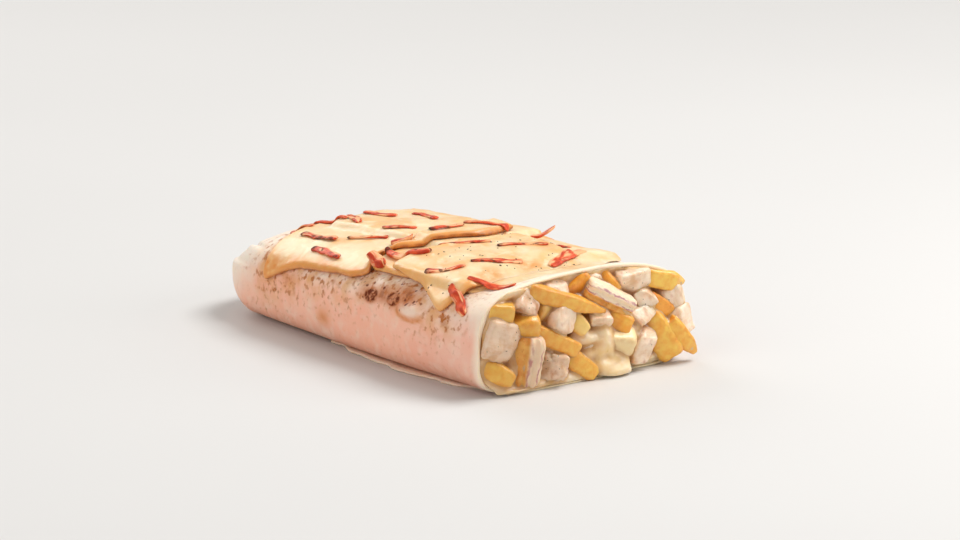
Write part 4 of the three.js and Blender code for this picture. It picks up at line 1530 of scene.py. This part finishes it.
@dataclass
class Bacon:
    """The bacon strips strewn over the cheese."""

    parcel: Parcel
    stack: Stack
    sunk: float = 0.42
    breadth: float = 0.56
    strips: tuple[Strip, ...] = (
        Strip((-64, 31), (-56, 24), 3, char=0.2),
        Strip((-61, 20), (-45, 14), 3, -1, char=0.2),
        Strip((-48, 11), (-32, 18), 3.4, -1, char=0.2),
        Strip((-50, 34), (-26, 33.5), 3, 0.6),
        Strip((-50, 1), (-31, -1), 3, 1.5, char=0.4),
        Strip((-31, -11), (-11, -7), 3, -1, char=0.2),
        Strip((-30, 43), (-8, 46), 3.2, -0.5),
        Strip((-15, 18), (-2, 10), 3, 1, char=0.5),
        Strip((-22, 31), (-6, 22), 2.2, 0.6),
        Strip((11, -5), (28, -15), 3, -1, char=0.5),
        Strip((12, 14), (16, -1), 2.8, 1),
        Strip((4, 28), (10, 21), 4, thick=2.4, char=0.2),
        Strip((12, 36), (37, 32), 3.6, 3, thick=2),
        Strip((14, 44), (23, 46), 4.6, thick=3.6, char=0.1),
        Strip((27, 23), (42, 5), 2.4, 1),
        Strip((51, 45), (64, 35), 3, 2.5, fat=0.5),
        Strip((71, 48), (86, 56), 3.8, -0.8, thick=1.7, fat=0.15, char=0.1),
        Strip((50, 8), (61, -10), 2.6, -1),
        Strip((33, -23), (38, -31), 4.6, curl=5.5, thick=1.7, fat=0.6, char=0.1),
        Strip((55, -16), (59, -24), 2.6, 1),
        Strip((61, 30), (73, 13), 3, 2),
        Strip((74, 41), (92, 32), 3.6, 1, fat=0.1, char=0.2),
        Strip((80, 4), (69, -22), 4.6, fat=0.6, char=0.1),
        Strip((-45, -40), (-34, -52), 3, 2),
        Strip((-25, -40), (-20, -56), 3.2, -1),
        Strip((-11, -46), (6, -54), 3, 1),
        Strip((-8, -36), (5, -41), 3, 1.5),
        Strip((10, -44), (20, -51), 2.8, -1),
    )

    def rail(self, strip: Strip, order: int) -> dict[str, Array | float]:
        """Lays one strip's centre line over whatever lies under it.

        Args:
            strip: the strip.
            order: its number, which varies its look.

        Returns:
            A line for rails().
        """
        start, end = np.array(strip.start, float), np.array(strip.end, float)
        length = float(np.linalg.norm(end - start))
        side = np.array([-(end - start)[1], (end - start)[0]]) / length
        share, size = along_strip(length, strip.width, 0.45, 0.5)
        uneven = 1 + 0.13 * np.sin(share * 7 + start[1]) + 0.1 * np.sin(share * 17 + start[0])
        half = self.breadth * strip.width * uneven * size
        rise = strip.curl * share**2 + 0.15 * np.sin(share * 8 + start[0]) - self.sunk
        sway = strip.bend * np.sin(np.pi * share) + 0.2 * np.sin(share * 11 + start[0] + start[1])
        middle = start + (end - start) * share[:, None] + side * sway[:, None]
        sides = [middle + side * (half * sign)[:, None] for sign in (-1, 1)]
        x, t = middle.T
        base = self.stack.top(x, t) + rise + strip.thick / 2
        left, right = [self.parcel.above(*side.T, self.stack.top(*side.T) + rise) for side in sides]
        centre = self.parcel.above(x, t, base)
        lift = unit(self.parcel.above(x, t, base + 1) - centre)
        return {
            "centre": centre,
            "side": unit(right - left),
            "lift": lift,
            "half_width": half,
            "half_thick": strip.thick / 2 * size,
            "share": share,
            "run": share * length,
            "seed": order * 3.7,
            "tint": strip.fat,
            "char": strip.char,
        }

    def build(self, sweep: SweepTree) -> None:
        """Makes and dresses the strips.

        Args:
            sweep: the tree that makes them.
        """
        source = rails("bacon_rails", [self.rail(strip, order) for order, strip in enumerate(self.strips)])
        sizes = {"Corner": 0.85, "Sides": 24, "Ruffle": 0.0005, "Ruffle_size": 350.0, "Seed": 1.0}
        mesh = sweep.run("bacon_strips", source, Material=BaconFinish().make(), **sizes)
        nodes = [f"bacon_strip_{order + 1:02d}" for order in range(len(self.strips))]
        show(mesh, nodes)


# ---- filling


@dataclass(frozen=True)
class Stick:
    """A long piece in the cut: its middle, sizes, and its long axis's angles in the cut and out of it."""

    y: float
    z: float
    out: float
    length: float
    width: float
    turn: float
    tip: float
    tint: float = 0.5
    roll: float = 12.0
    taper: float = 0.0
    bow: float = 0.4
    blunt: float = 0.72
    rounding: float = 0.34

    def rail(self, cut_x: float, order: int, flatness: float) -> dict[str, Array | float]:
        """Gives the piece's centre line.

        Args:
            cut_x: where the cut is.
            order: its number, which varies its look.
            flatness: its thickness as a share of its width.

        Returns:
            A line for rails().
        """
        turn, tip, roll = np.radians([self.turn, self.tip, self.roll])
        along = np.array([np.sin(tip), np.cos(turn) * np.cos(tip), np.sin(turn) * np.cos(tip)])
        out = unit(np.array([1.0, 0, 0]) - along * along[0])
        side = np.cross(out, along)
        side, lift = side * np.cos(roll) + out * np.sin(roll), out * np.cos(roll) - side * np.sin(roll)
        share, size = along_strip(self.length, self.width, self.blunt, self.rounding)
        middle = np.array([cut_x + self.out, self.y, self.z])
        centre = middle + along * (share[:, None] - 0.5) * self.length
        centre = centre + lift * (self.bow * np.sin(np.pi * share))[:, None]
        narrowed = smooth(((share if self.taper > 0 else 1 - share) - 0.6) / 0.5)
        swelling = size * (0.96 + 0.05 * np.sin(share * 5 + order)) * (1 - abs(self.taper) * narrowed)
        return {
            "centre": centre,
            "side": side * np.ones((len(share), 1)),
            "lift": lift * np.ones((len(share), 1)),
            "half_width": self.width / 2 * swelling,
            "half_thick": self.width / 2 * flatness * swelling,
            "share": share,
            "seed": order * 5.3,
            "tint": self.tint,
        }


@dataclass(frozen=True)
class Chunk:
    """A diced or torn piece in the cut: its middle, its sizes across, deep and high, and its look."""

    SEED = 400
    SQUARENESS = 11

    y: float
    z: float
    out: float
    size: tuple[float, float, float]
    browned: float = 0.2
    crumbly: float = 0.0
    turned: float = 0.55

    def make(self, cut_x: float, order: int, lumps: Lumps) -> tuple[Array, list[list[int]], dict[str, Array]]:
        """Builds the piece: a cube with rounded, uneven sides and fibres along it.

        Args:
            cut_x: where the cut is.
            order: its number, which varies its form.
            lumps: the noise for its surface.

        Returns:
            Its points, faces and values for its finish.
        """
        random = np.random.default_rng(self.SEED + order)
        directions, faces = ball(5)
        axes = np.linalg.qr(random.normal(size=(3, 3)) * self.turned + np.eye(3) * 1.4)[0]
        extra = unit(random.normal(size=(5, 3)))
        planes = np.concatenate([axes, -axes, extra])
        reach = np.concatenate([random.uniform(0.84, 1.0, 6), random.uniform(0.84, 1.05, 5)])
        facing = np.clip(directions @ planes.T, 0, None) / reach
        radius = (facing**self.SQUARENESS).sum(axis=1) ** (-1 / self.SQUARENESS)
        width, depth, height = self.size
        points = directions * radius[:, None] * np.array([depth, width, height]) / 2
        shifted = points + order * 31.0
        grain = axes[random.integers(0, 3)]
        across = unit(np.cross(grain, [[0.0, 0.0, 1.0], [1.0, 0.0, 0.0]]))
        local = points @ np.stack([grain, *across]).T
        fibres = lumps.at(local * np.array([0.16, 1, 1]) + order * 17.0, 1.3, 2)
        along = np.abs(points @ grain)
        ends = smooth((along / along.max() - 0.45) / 0.4)
        push = 0.7 * lumps.at(shifted, 5, 3) + (0.03 + 0.06 * ends) * fibres
        push += self.crumbly * 0.9 * lumps.at(shifted, 2.2, 2)
        points = points + unit(points) * push[:, None]
        values = {"grain": local / 2 + order * 9.0, "tint": np.full(len(points), self.browned)}
        values["scatter"] = np.ones(len(points))
        return points + np.array([cut_x + self.out, self.y, self.z]), faces, values


def joined(parts: list[tuple[Array, list[list[int]], dict[str, Array]]], name: str) -> bpy.types.Mesh:
    """Joins closed bodies into one mesh.

    Args:
        parts: points, faces and values of each.
        name: the mesh's name.

    Returns:
        The mesh.
    """
    starts = np.cumsum([0] + [len(points) for points, _, _ in parts])
    faces = [[i + start for i in face] for start, (_, own, _) in zip(starts, parts) for face in own]
    values = {key: np.concatenate([own[key] for _, _, own in parts]) for key in parts[0][2]}
    return make_mesh(name, np.concatenate([points for points, _, _ in parts]), faces, values)


@dataclass(frozen=True)
class Blob:
    """A pool or drip of sauce in the cut: its middle and its sizes across, deep and high."""

    y: float
    z: float
    out: float
    size: tuple[float, float, float]


@dataclass
class Filling:
    """Fries, chicken and breaded strips in sauce, as they show in the cut."""

    parcel: Parcel
    voxel: float = 0.65
    softening: int = 18
    coating: float = -0.5
    coat_wave: float = 0.32
    bed_back: float = 16.0
    bed_depth: float = 1.8
    bed_rings: int = 24
    bed_around: int = 120
    map_size: tuple[float, float] = (120.0, 56.0)
    map_corner: tuple[float, float] = (60.0, 2.0)
    # These set the painted shade in the cut's recesses.
    hollow_cell: float = 0.8
    hollow_blur: int = 12
    hollow_from: float = 0.3
    hollow_depth: float = 2.4
    # Strength of the painted shade over the cut's left side.
    painted_left_shade: float = 0.42
    lumps: Lumps = field(default_factory=lambda: Lumps(41))
    fries: tuple[Stick, ...] = (
        Stick(-47.5, 35.3, -1, 18, 8.5, -6, 25, 0.1, taper=-0.7),
        Stick(-12, 35.2, 3, 40, 7.0, -20, 7, 0.5, taper=0.85),
        Stick(-4, 39, -3, 16, 8, 35, 10, 1.0),
        Stick(13, 39, -3, 14, 7, -60, 30, 0.8),
        Stick(42, 36, 1, 19, 8.5, -14, 10, 0.2, taper=0.85),
        Stick(38.5, 26, 1, 14, 6.5, -36, 5, 1.0),
        Stick(39.5, 13, 0, 23, 12.5, -58, 12, 0.35, 30),
        Stick(47.9, 11.3, 4.6, 21, 8, -48, 4, 0.45, 20, taper=0.7),
        Stick(15.5, 22.6, 1, 14, 9, -30, 30, 0.7),
        Stick(-7, 26, 1, 15, 8, -50, 25, -0.4, taper=0.3),
        Stick(-22, 30, -2, 13, 7.5, 80, 25, -0.4),
        Stick(-33.5, 27.7, 1, 14, 10.5, 8, 25, 0.35, 25),
        Stick(-20.3, 20.8, 2, 30, 7.2, -27, 8, 0.45),
        Stick(-5, 8, 1, 20, 8.5, -38, 10, 0.35, taper=-0.3),
        Stick(-46.5, 10, -1, 18, 9.5, -32, 35, 0.2, taper=0.4),
        Stick(13.6, 14.6, 1.5, 18, 11.5, -10, 20, -1.0, 35),
    )
    chicken: tuple[Chunk, ...] = (
        Chunk(-32, 37, -1, (12, 12, 12), 0.5),
        Chunk(-16, 38.5, -3, (15, 12, 8), 0.2),
        Chunk(5, 40, -4, (12, 10, 7)),
        Chunk(26, 38, -2, (17, 12, 11), 0.15),
        Chunk(31, 30, 0, (9, 9, 8), 0.0),
        Chunk(45.5, 28.5, 0.5, (12, 11, 12)),
        Chunk(27.5, 23, 0, (12, 12, 9), 0.1),
        Chunk(47.8, 17.6, 2, (12, 11, 13), 0.0),
        Chunk(28, 11, 2.5, (14, 12, 15), 0.3, turned=0.3),
        Chunk(6.5, 25.5, 2, (12, 11, 8), 0.1),
        Chunk(-15.5, 27.5, 1, (13, 12, 12), 0.1, turned=0.2),
        Chunk(-45.5, 23.5, -0.5, (20, 14, 18), 0.0, turned=0.24),
        Chunk(-17, 8, 1, (14, 13, 12), 0.4, 0.6),
        Chunk(-21, 14, 0, (8, 8, 6), 0.7, 0.9),
        Chunk(3, 15, 0, (12, 10, 9), 0.1),
    )
    breaded: tuple[Stick, ...] = (
        Stick(11, 33, 2, 25.5, 9.5, -28, 4, 0.5, 25),
        Stick(-32, 13.2, 1, 21, 14, -94, -6, 0.5, 20),
    )
    blobs: tuple[Blob, ...] = (
        Blob(10, 6, 3, (22, 10, 13)),
        Blob(12, 2.5, 5.5, (18, 9, 7)),
        Blob(-40, 42, -1, (22, 7, 6)),
        Blob(7, 15, 3, (12, 10, 16)),
        Blob(2, 18, 1, (16, 10, 7)),
        Blob(24, 16, 1, (7, 9, 16)),
        Blob(-38, 16, 0, (14, 9, 6)),
        Blob(-32, 3, 0, (34, 10, 6)),
        Blob(-10, 3, 0, (26, 9, 5)),
        Blob(20, 27, -1, (16, 8, 8)),
        Blob(-24, 37, -3, (20, 8, 9)),
        Blob(-4, 33, -2, (30, 8, 8)),
        Blob(34, 18, -1, (16, 8, 12)),
        Blob(44, 22, -3, (16, 8, 16)),
        Blob(-30, 24, -2, (26, 8, 16)),
        Blob(30, 4, 0, (20, 8, 5)),
        Blob(3, 11, 0, (16, 10, 13)),
        Blob(-48, 5, -1, (12, 8, 7)),
        Blob(-22, 15, -1, (12, 8, 12)),
        Blob(-32, 1.5, 2, (38, 6, 4)),
        Blob(-10, 1.5, 2, (26, 6, 4)),
        Blob(-44, 36, -2, (14, 7, 8)),
        Blob(-52, 24, -2, (5, 7, 30)),
        Blob(-5.5, 18.5, 0.5, (12, 8, 8)),
        Blob(2.5, 25.5, -0.5, (8, 8, 8)),
        Blob(-38.5, 10.5, 0, (9, 9, 9)),
    )

    def sauce_source(self, pieces: list[bpy.types.Mesh]) -> bpy.types.Mesh:
        """Builds the sauce's bed, pools and drips, and the pieces that it flows round, as overlapping bodies.

        Args:
            pieces: the meshes of the fries, chicken and breaded strips.

        Returns:
            The bodies in one mesh.
        """
        parcel = self.parcel
        around = np.linspace(-1, 1, self.bed_around, endpoint=False)
        cut = np.full(self.bed_around, parcel.cut_x)
        rim, _ = parcel.walk(cut, around, parcel.wall * 0.4, by_share=True)
        middle = np.array([parcel.cut_x, 0, rim[:, 2].mean()])
        rings = [mix(middle, rim, 0.99) - np.array([self.bed_back, 0, 0])]
        for share in np.linspace(1, 0.04, self.bed_rings):
            ring = mix(middle, rim, share)
            near_rim = share**12
            rise = (1 - share**2) + 2.0 * near_rim
            wave = 1.6 * (1 - 0.7 * near_rim) * self.lumps.at(ring, 9, 2)
            ring[:, 0] = parcel.cut_x - self.bed_depth + rise + wave
            rings.append(ring)
        parts = [(*loft(np.array(rings)), {})]
        directions, faces = ball(4)
        for order, blob in enumerate(self.blobs):
            width, depth, height = blob.size
            wave = 1 + 0.2 * self.lumps.at(directions * 6 + order * 13, 5, 2)
            points = directions * wave[:, None] * np.array([depth, width, height]) / 2
            points += np.array([parcel.cut_x + blob.out, blob.y, blob.z])
            points[:, 2] = np.maximum(points[:, 2], 0.8)
            parts.append((points, faces, {}))
        for piece in pieces:
            parts.append((places_of(piece), [list(face.vertices) for face in piece.polygons], {}))
        return joined(parts, "sauce_source")

    def build_sauce(self, pieces: list[bpy.types.Mesh]) -> None:
        """Makes the sauce: all bodies flow together and are smoothed, which fills the gaps between them.

        Args:
            pieces: the meshes that the sauce flows round.
        """
        holder = add_object("sauce_source", self.sauce_source(pieces))
        remesh = holder.modifiers.new("flow", "REMESH")
        remesh.mode = "VOXEL"
        remesh.voxel_size = self.voxel * MM
        soften = holder.modifiers.new("soften", "SMOOTH")
        soften.factor, soften.iterations = 0.7, self.softening
        mesh = shaped(holder, "sauce")
        front = self.front_map(mesh)
        self.thin_sauce(mesh)
        self.mark_coating(mesh, pieces)
        # Painted shade on the sauce and the pieces: in recesses and over the cut's left side.
        for part in (mesh, *pieces):
            self.mark_painted_shade(part, front)
        mesh.polygons.foreach_set("use_smooth", np.ones(len(mesh.polygons), bool))
        mesh.materials.clear()
        show(mesh, ["filling"], SauceFinish().make())

    def front_map(self, mesh: bpy.types.Mesh) -> Array:
        """Maps how far out the cut's surface stands on the whole.

        Args:
            mesh: a surface that covers all pieces.

        Returns:
            X for cells across and up.
        """
        points = places_of(mesh)
        cells = [int(size / self.hollow_cell) for size in self.map_size]
        front = np.full(cells, self.parcel.cut_x - 4)
        np.maximum.at(front, self.map_cells(points), points[:, 0])
        for _ in range(self.hollow_blur):
            for axis in (0, 1):
                front = (front + np.roll(front, 1, axis) + np.roll(front, -1, axis)) / 3
        return front

    def map_cells(self, points: Array) -> tuple[Array, Array]:
        """Gives the cells of front_map() that hold points."""
        ways = (points[:, 1:] + self.map_corner) / self.hollow_cell
        return tuple(np.clip(ways.astype(int), 0, None).T)

    def mark_painted_shade(self, mesh: bpy.types.Mesh, front: Array) -> None:
        """Stores on a mesh how much painted shade its points get: more the further they lie behind the cut's
        surface, and more on the left.

        Args:
            mesh: gets the values.
            front: the surface, from front_map().
        """
        points = places_of(mesh)
        # Painted shade: darker the further a point lies behind the cut's blurred surface, where little light
        # reaches.
        behind = front[self.map_cells(points)] - points[:, 0]
        painted_shade = smooth((behind - self.hollow_from) / self.hollow_depth)
        # More painted shade over the left of the cut, where less light falls.
        soaked = self.painted_left_shade * smooth((12 - points[:, 1]) / 50)
        add_fields(mesh, {"painted_shade": painted_shade + soaked * (1 - painted_shade)})

    def thin_sauce(self, mesh: bpy.types.Mesh) -> None:
        """Draws the sauce's surface in unevenly, so that it coats the pieces only in places.

        Args:
            mesh: the smoothed sauce.
        """
        points, normals = places_of(mesh), np.zeros(len(mesh.vertices) * 3)
        mesh.vertex_normals.foreach_get("vector", normals)
        push = self.coating + self.coat_wave * self.lumps.at(points, 7, 2)
        push *= 1 - smooth((self.parcel.reach(points, 1.0) - 0.93) / 0.05)
        points = points + normals.reshape(-1, 3) * push[:, None]
        move_points(mesh, self.parcel.confine(points, 0.7, 0.97, 0.05))

    def mark_coating(self, mesh: bpy.types.Mesh, pieces: list[bpy.types.Mesh]) -> None:
        """Stores on the sauce how thinly it lies on the pieces, from 0 to 1: it darkens the sauce there as
        thin sauce and as painted contact shade.

        Args:
            mesh: the sauce.
            pieces: what it lies on.
        """
        solid = np.concatenate([places_of(piece) for piece in pieces])
        solid = solid[solid[:, 0] > self.parcel.cut_x - 10]
        tree = kdtree.KDTree(len(solid))
        for order, place in enumerate(solid):
            tree.insert(place, order)
        tree.balance()
        points = places_of(mesh)
        gap = np.full(len(points), np.inf)
        for order in np.flatnonzero(points[:, 0] > self.parcel.cut_x - 8):
            gap[order] = tree.find(points[order])[2]
        # Closeness to the pieces, which the finish paints darker: thin sauce with painted contact shade.
        add_fields(mesh, {"coat": smooth(1.3 - gap / 1.5)})

    def build_core(self) -> None:
        """Makes the mass that fills the parcel behind the sauce's bed."""
        parcel = self.parcel
        gap, overlap, rings, sides = 0.6, 3, 60, 72
        around = np.linspace(-1, 1, sides, endpoint=False)
        share = np.linspace(0, 1, rings)[:, None] ** 1.6
        x = mix(parcel.end_x + parcel.wall + 1, parcel.cut_x - self.bed_back + overlap, share) + 0 * around
        points, _ = parcel.walk(x, around + 0 * x, parcel.wall + gap, by_share=True)
        points, faces = loft(points)
        looks = {name: np.zeros(len(points)) for name in ("painted_shade", "coat")}
        mesh = make_mesh("filling_core", points, faces, looks)
        show(mesh, ["filling"], bpy.data.materials["cheese_sauce"])

    def sweep_sticks(
        self, sweep: SweepTree, name: str, sticks: tuple[Stick, ...], flatness: float, **inputs: object
    ) -> bpy.types.Mesh:
        """Makes and shows one kind of long piece.

        Args:
            sweep: the tree that makes them.
            name: the new piece's name.
            sticks: the long pieces.
            flatness: their thickness as a share of their width.
            **inputs: inputs of the tree.

        Returns:
            The mesh.
        """
        lines = [stick.rail(self.parcel.cut_x, order, flatness) for order, stick in enumerate(sticks)]
        mesh = sweep.run(name, rails(name + "_rails", lines), **inputs)
        move_points(mesh, self.parcel.confine(places_of(mesh)))
        show(mesh, ["filling"])
        return mesh

    def build_sticks(self, sweep: SweepTree) -> tuple[bpy.types.Mesh, bpy.types.Mesh]:
        """Makes the fries and the breaded strips.

        Args:
            sweep: the tree that makes them.

        Returns:
            The meshes of both.
        """
        sizes = {"Corner": 0.38, "Sides": 36, "Ruffle": 0.0009, "Ruffle_size": 300.0, "Seed": 4.0}
        fries = self.sweep_sticks(sweep, "fries", self.fries, 0.92, Material=FryFinish().make(), **sizes)
        sizes |= {"Corner": 0.5, "Sides": 64, "Ruffle_size": 420.0, "Seed": 9.0}
        sizes |= {"Ridge_depth": 0.00035, "Ridges": 11.0, "Material": BreadedFinish().make()}
        return fries, self.sweep_sticks(sweep, "breaded_strips", self.breaded, 0.85, **sizes)

    def build_chicken(self) -> bpy.types.Mesh:
        """Makes the chicken pieces and gives their mesh."""
        parts = [piece.make(self.parcel.cut_x, order, self.lumps) for order, piece in enumerate(self.chicken)]
        mesh = joined(parts, "chicken_pieces")
        move_points(mesh, self.parcel.confine(places_of(mesh)))
        show(mesh, ["filling"], ChickenFinish().make())
        return mesh


# ---- small bits


@dataclass
class Seasoning:
    """Ground pepper on the front cheese slice and the chicken, and crumbs on the breaded strips."""

    scatter: ScatterTree

    def strew(self, name: str, host: bpy.types.Mesh, node: str, finish: BitFinish, **sizes: float) -> None:
        """Scatters one kind of bit on a mesh.

        Args:
            name: the new piece's name.
            host: the mesh that carries them.
            node: the CAD node that they belong to.
            finish: their look.
            **sizes: inputs of the scatter tree.
        """
        mesh = self.scatter.run(name, host.copy(), Material=finish.make(), **sizes)
        show(mesh, [node])

    def build(self, slices: list[bpy.types.Mesh], chicken: bpy.types.Mesh, breaded: bpy.types.Mesh) -> None:
        """Makes all bits.

        Args:
            slices: the cheese slices' meshes, the front one last.
            chicken: the chicken's mesh.
            breaded: the breaded strips' mesh.
        """
        pepper = BitFinish("ground_pepper", "1f1812", "5a4a30")
        sizes = {"Density": 16000.0, "Size": 0.00075, "Smallest": 0.25, "Flatness": 0.3}
        self.strew("pepper_on_cheese", slices[-1], "cheese_slice_front", pepper, Seed=5, **sizes)
        sizes |= {"Density": 22000.0, "Size": 0.0004}
        self.strew("pepper_on_chicken", chicken, "filling", pepper, Seed=8, **sizes)
        across = np.zeros(len(breaded.vertices) * 3, np.float32)
        breaded.attributes["across"].data.foreach_get("vector", across)
        crust = breaded.copy()
        add_fields(crust, {"scatter": smooth((-0.1 - across.reshape(-1, 3)[:, 0]) * 5)})
        crumbs = BitFinish("browned_crumbs", "c67c2e", "f0b85e")
        sizes = {"Density": 120000.0, "Size": 0.0005, "Smallest": 0.3, "Flatness": 0.4}
        self.strew("breadcrumbs", crust, "filling", crumbs, Seed=3, **sizes)


# ---- studio


@dataclass(frozen=True)
class Lamp:
    """A soft square light: where it stands, what it points at, its size and power."""

    name: str
    place: tuple[float, float, float]
    size: float
    power: float
    tint: str = "ffffff"

    def build(self) -> None:
        """Adds the light, pointed at the object."""
        data = bpy.data.lights.new(self.name, "AREA")
        data.size, data.energy, data.color = self.size, self.power, colour(self.tint)[:3]
        lamp = add_object(self.name, data)
        lamp.location = self.place
        lamp.rotation_euler = (Vector((0, 0, 0.02)) - lamp.location).to_track_quat("-Z", "Y").to_euler()


@dataclass(frozen=True)
class Studio:
    """Camera, pale floor, soft lights and an even pale sky."""

    azimuth: float = 50.63
    elevation: float = 13.75
    distance: float = 2.039
    focal: float = 4986.0
    image_width: float = 960.0
    target: tuple[float, float, float] = (0.097, 0.0, 0.0224)
    pan_right: float = -0.0427
    pan_up: float = 0.0226
    sensor: float = 36.0
    floor_half: float = 12.0
    floor_tints: tuple[str, str] = ("d4d2cf", "dad8d5")
    sky: str = "f6f4f2"
    sky_strength: float = 0.37
    lamps: tuple[Lamp, ...] = (
        Lamp("key", (0.4, 0.9, 1.6), 0.9, 28),
        Lamp("fill", (0.3, -1.75, 0.9), 1.6, 13.5),
        Lamp("rim", (-1.5, 0.2, 1.0), 0.9, 8),
        Lamp("side", (0.55, 0.5, 0.38), 0.35, 1.5),
    )

    def build_camera(self) -> None:
        """Adds the camera at the photograph's angle."""
        azimuth, elevation = math.radians(self.azimuth), math.radians(self.elevation)
        flat = math.cos(elevation)
        back = Vector((math.sin(azimuth) * flat, -math.cos(azimuth) * flat, math.sin(elevation)))
        right = Vector((math.cos(azimuth), math.sin(azimuth), 0))
        data = bpy.data.cameras.new("camera")
        data.sensor_width = self.sensor
        data.lens = self.focal * data.sensor_width / self.image_width
        data.clip_start, data.clip_end = 0.1, 60
        camera = add_object("camera", data)
        camera.location = Vector(self.target) + back * self.distance
        aim = Vector(self.target) + right * self.pan_right + back.cross(right) * self.pan_up
        turned = (camera.location - aim).normalized()
        level = (right - turned * right.dot(turned)).normalized()
        camera.rotation_mode = "QUATERNION"
        camera.rotation_quaternion = Matrix((level, turned.cross(level), turned)).transposed().to_quaternion()
        bpy.context.scene.camera = camera

    def build_floor(self) -> None:
        """Adds the floor."""
        half = self.floor_half
        corners = [(-half, -half, 0), (half, -half, 0), (half, half, 0), (-half, half, 0)]
        mesh = bpy.data.meshes.new("floor")
        mesh.from_pydata(corners, [], [(0, 1, 2, 3)])
        s = Shader("pale_floor")
        mesh.materials.append(s.finish(s.blend(s.noise(400, 2), *self.floor_tints), 0.7))
        floor = add_object("floor", mesh)

    def build(self) -> None:
        """Adds everything that isn't the object."""
        self.build_camera()
        self.build_floor()
        for lamp in self.lamps:
            lamp.build()
        world = bpy.data.worlds.new("studio")
        world.use_nodes = True
        background = world.node_tree.nodes["Background"]
        background.inputs["Color"].default_value = colour(self.sky)
        background.inputs["Strength"].default_value = self.sky_strength
        bpy.context.scene.world = world
        bpy.context.scene.view_settings.view_transform = "Standard"


def main() -> None:
    """Builds the studio and the object, piece by piece."""
    logging.basicConfig(level=logging.INFO, format="%(message)s")
    Studio().build()
    parcel, stack = Parcel(), Stack()
    sweep = SweepTree()
    Tortilla(parcel, stack).build()
    slices = stack.build(parcel)
    Bacon(parcel, stack).build(sweep)
    filling = Filling(parcel)
    fries, breaded = filling.build_sticks(sweep)
    chicken = filling.build_chicken()
    filling.build_sauce([fries, breaded, chicken])
    filling.build_core()
    Seasoning(ScatterTree()).build(slices, chicken, breaded)


if __name__ == "__main__":
    main()
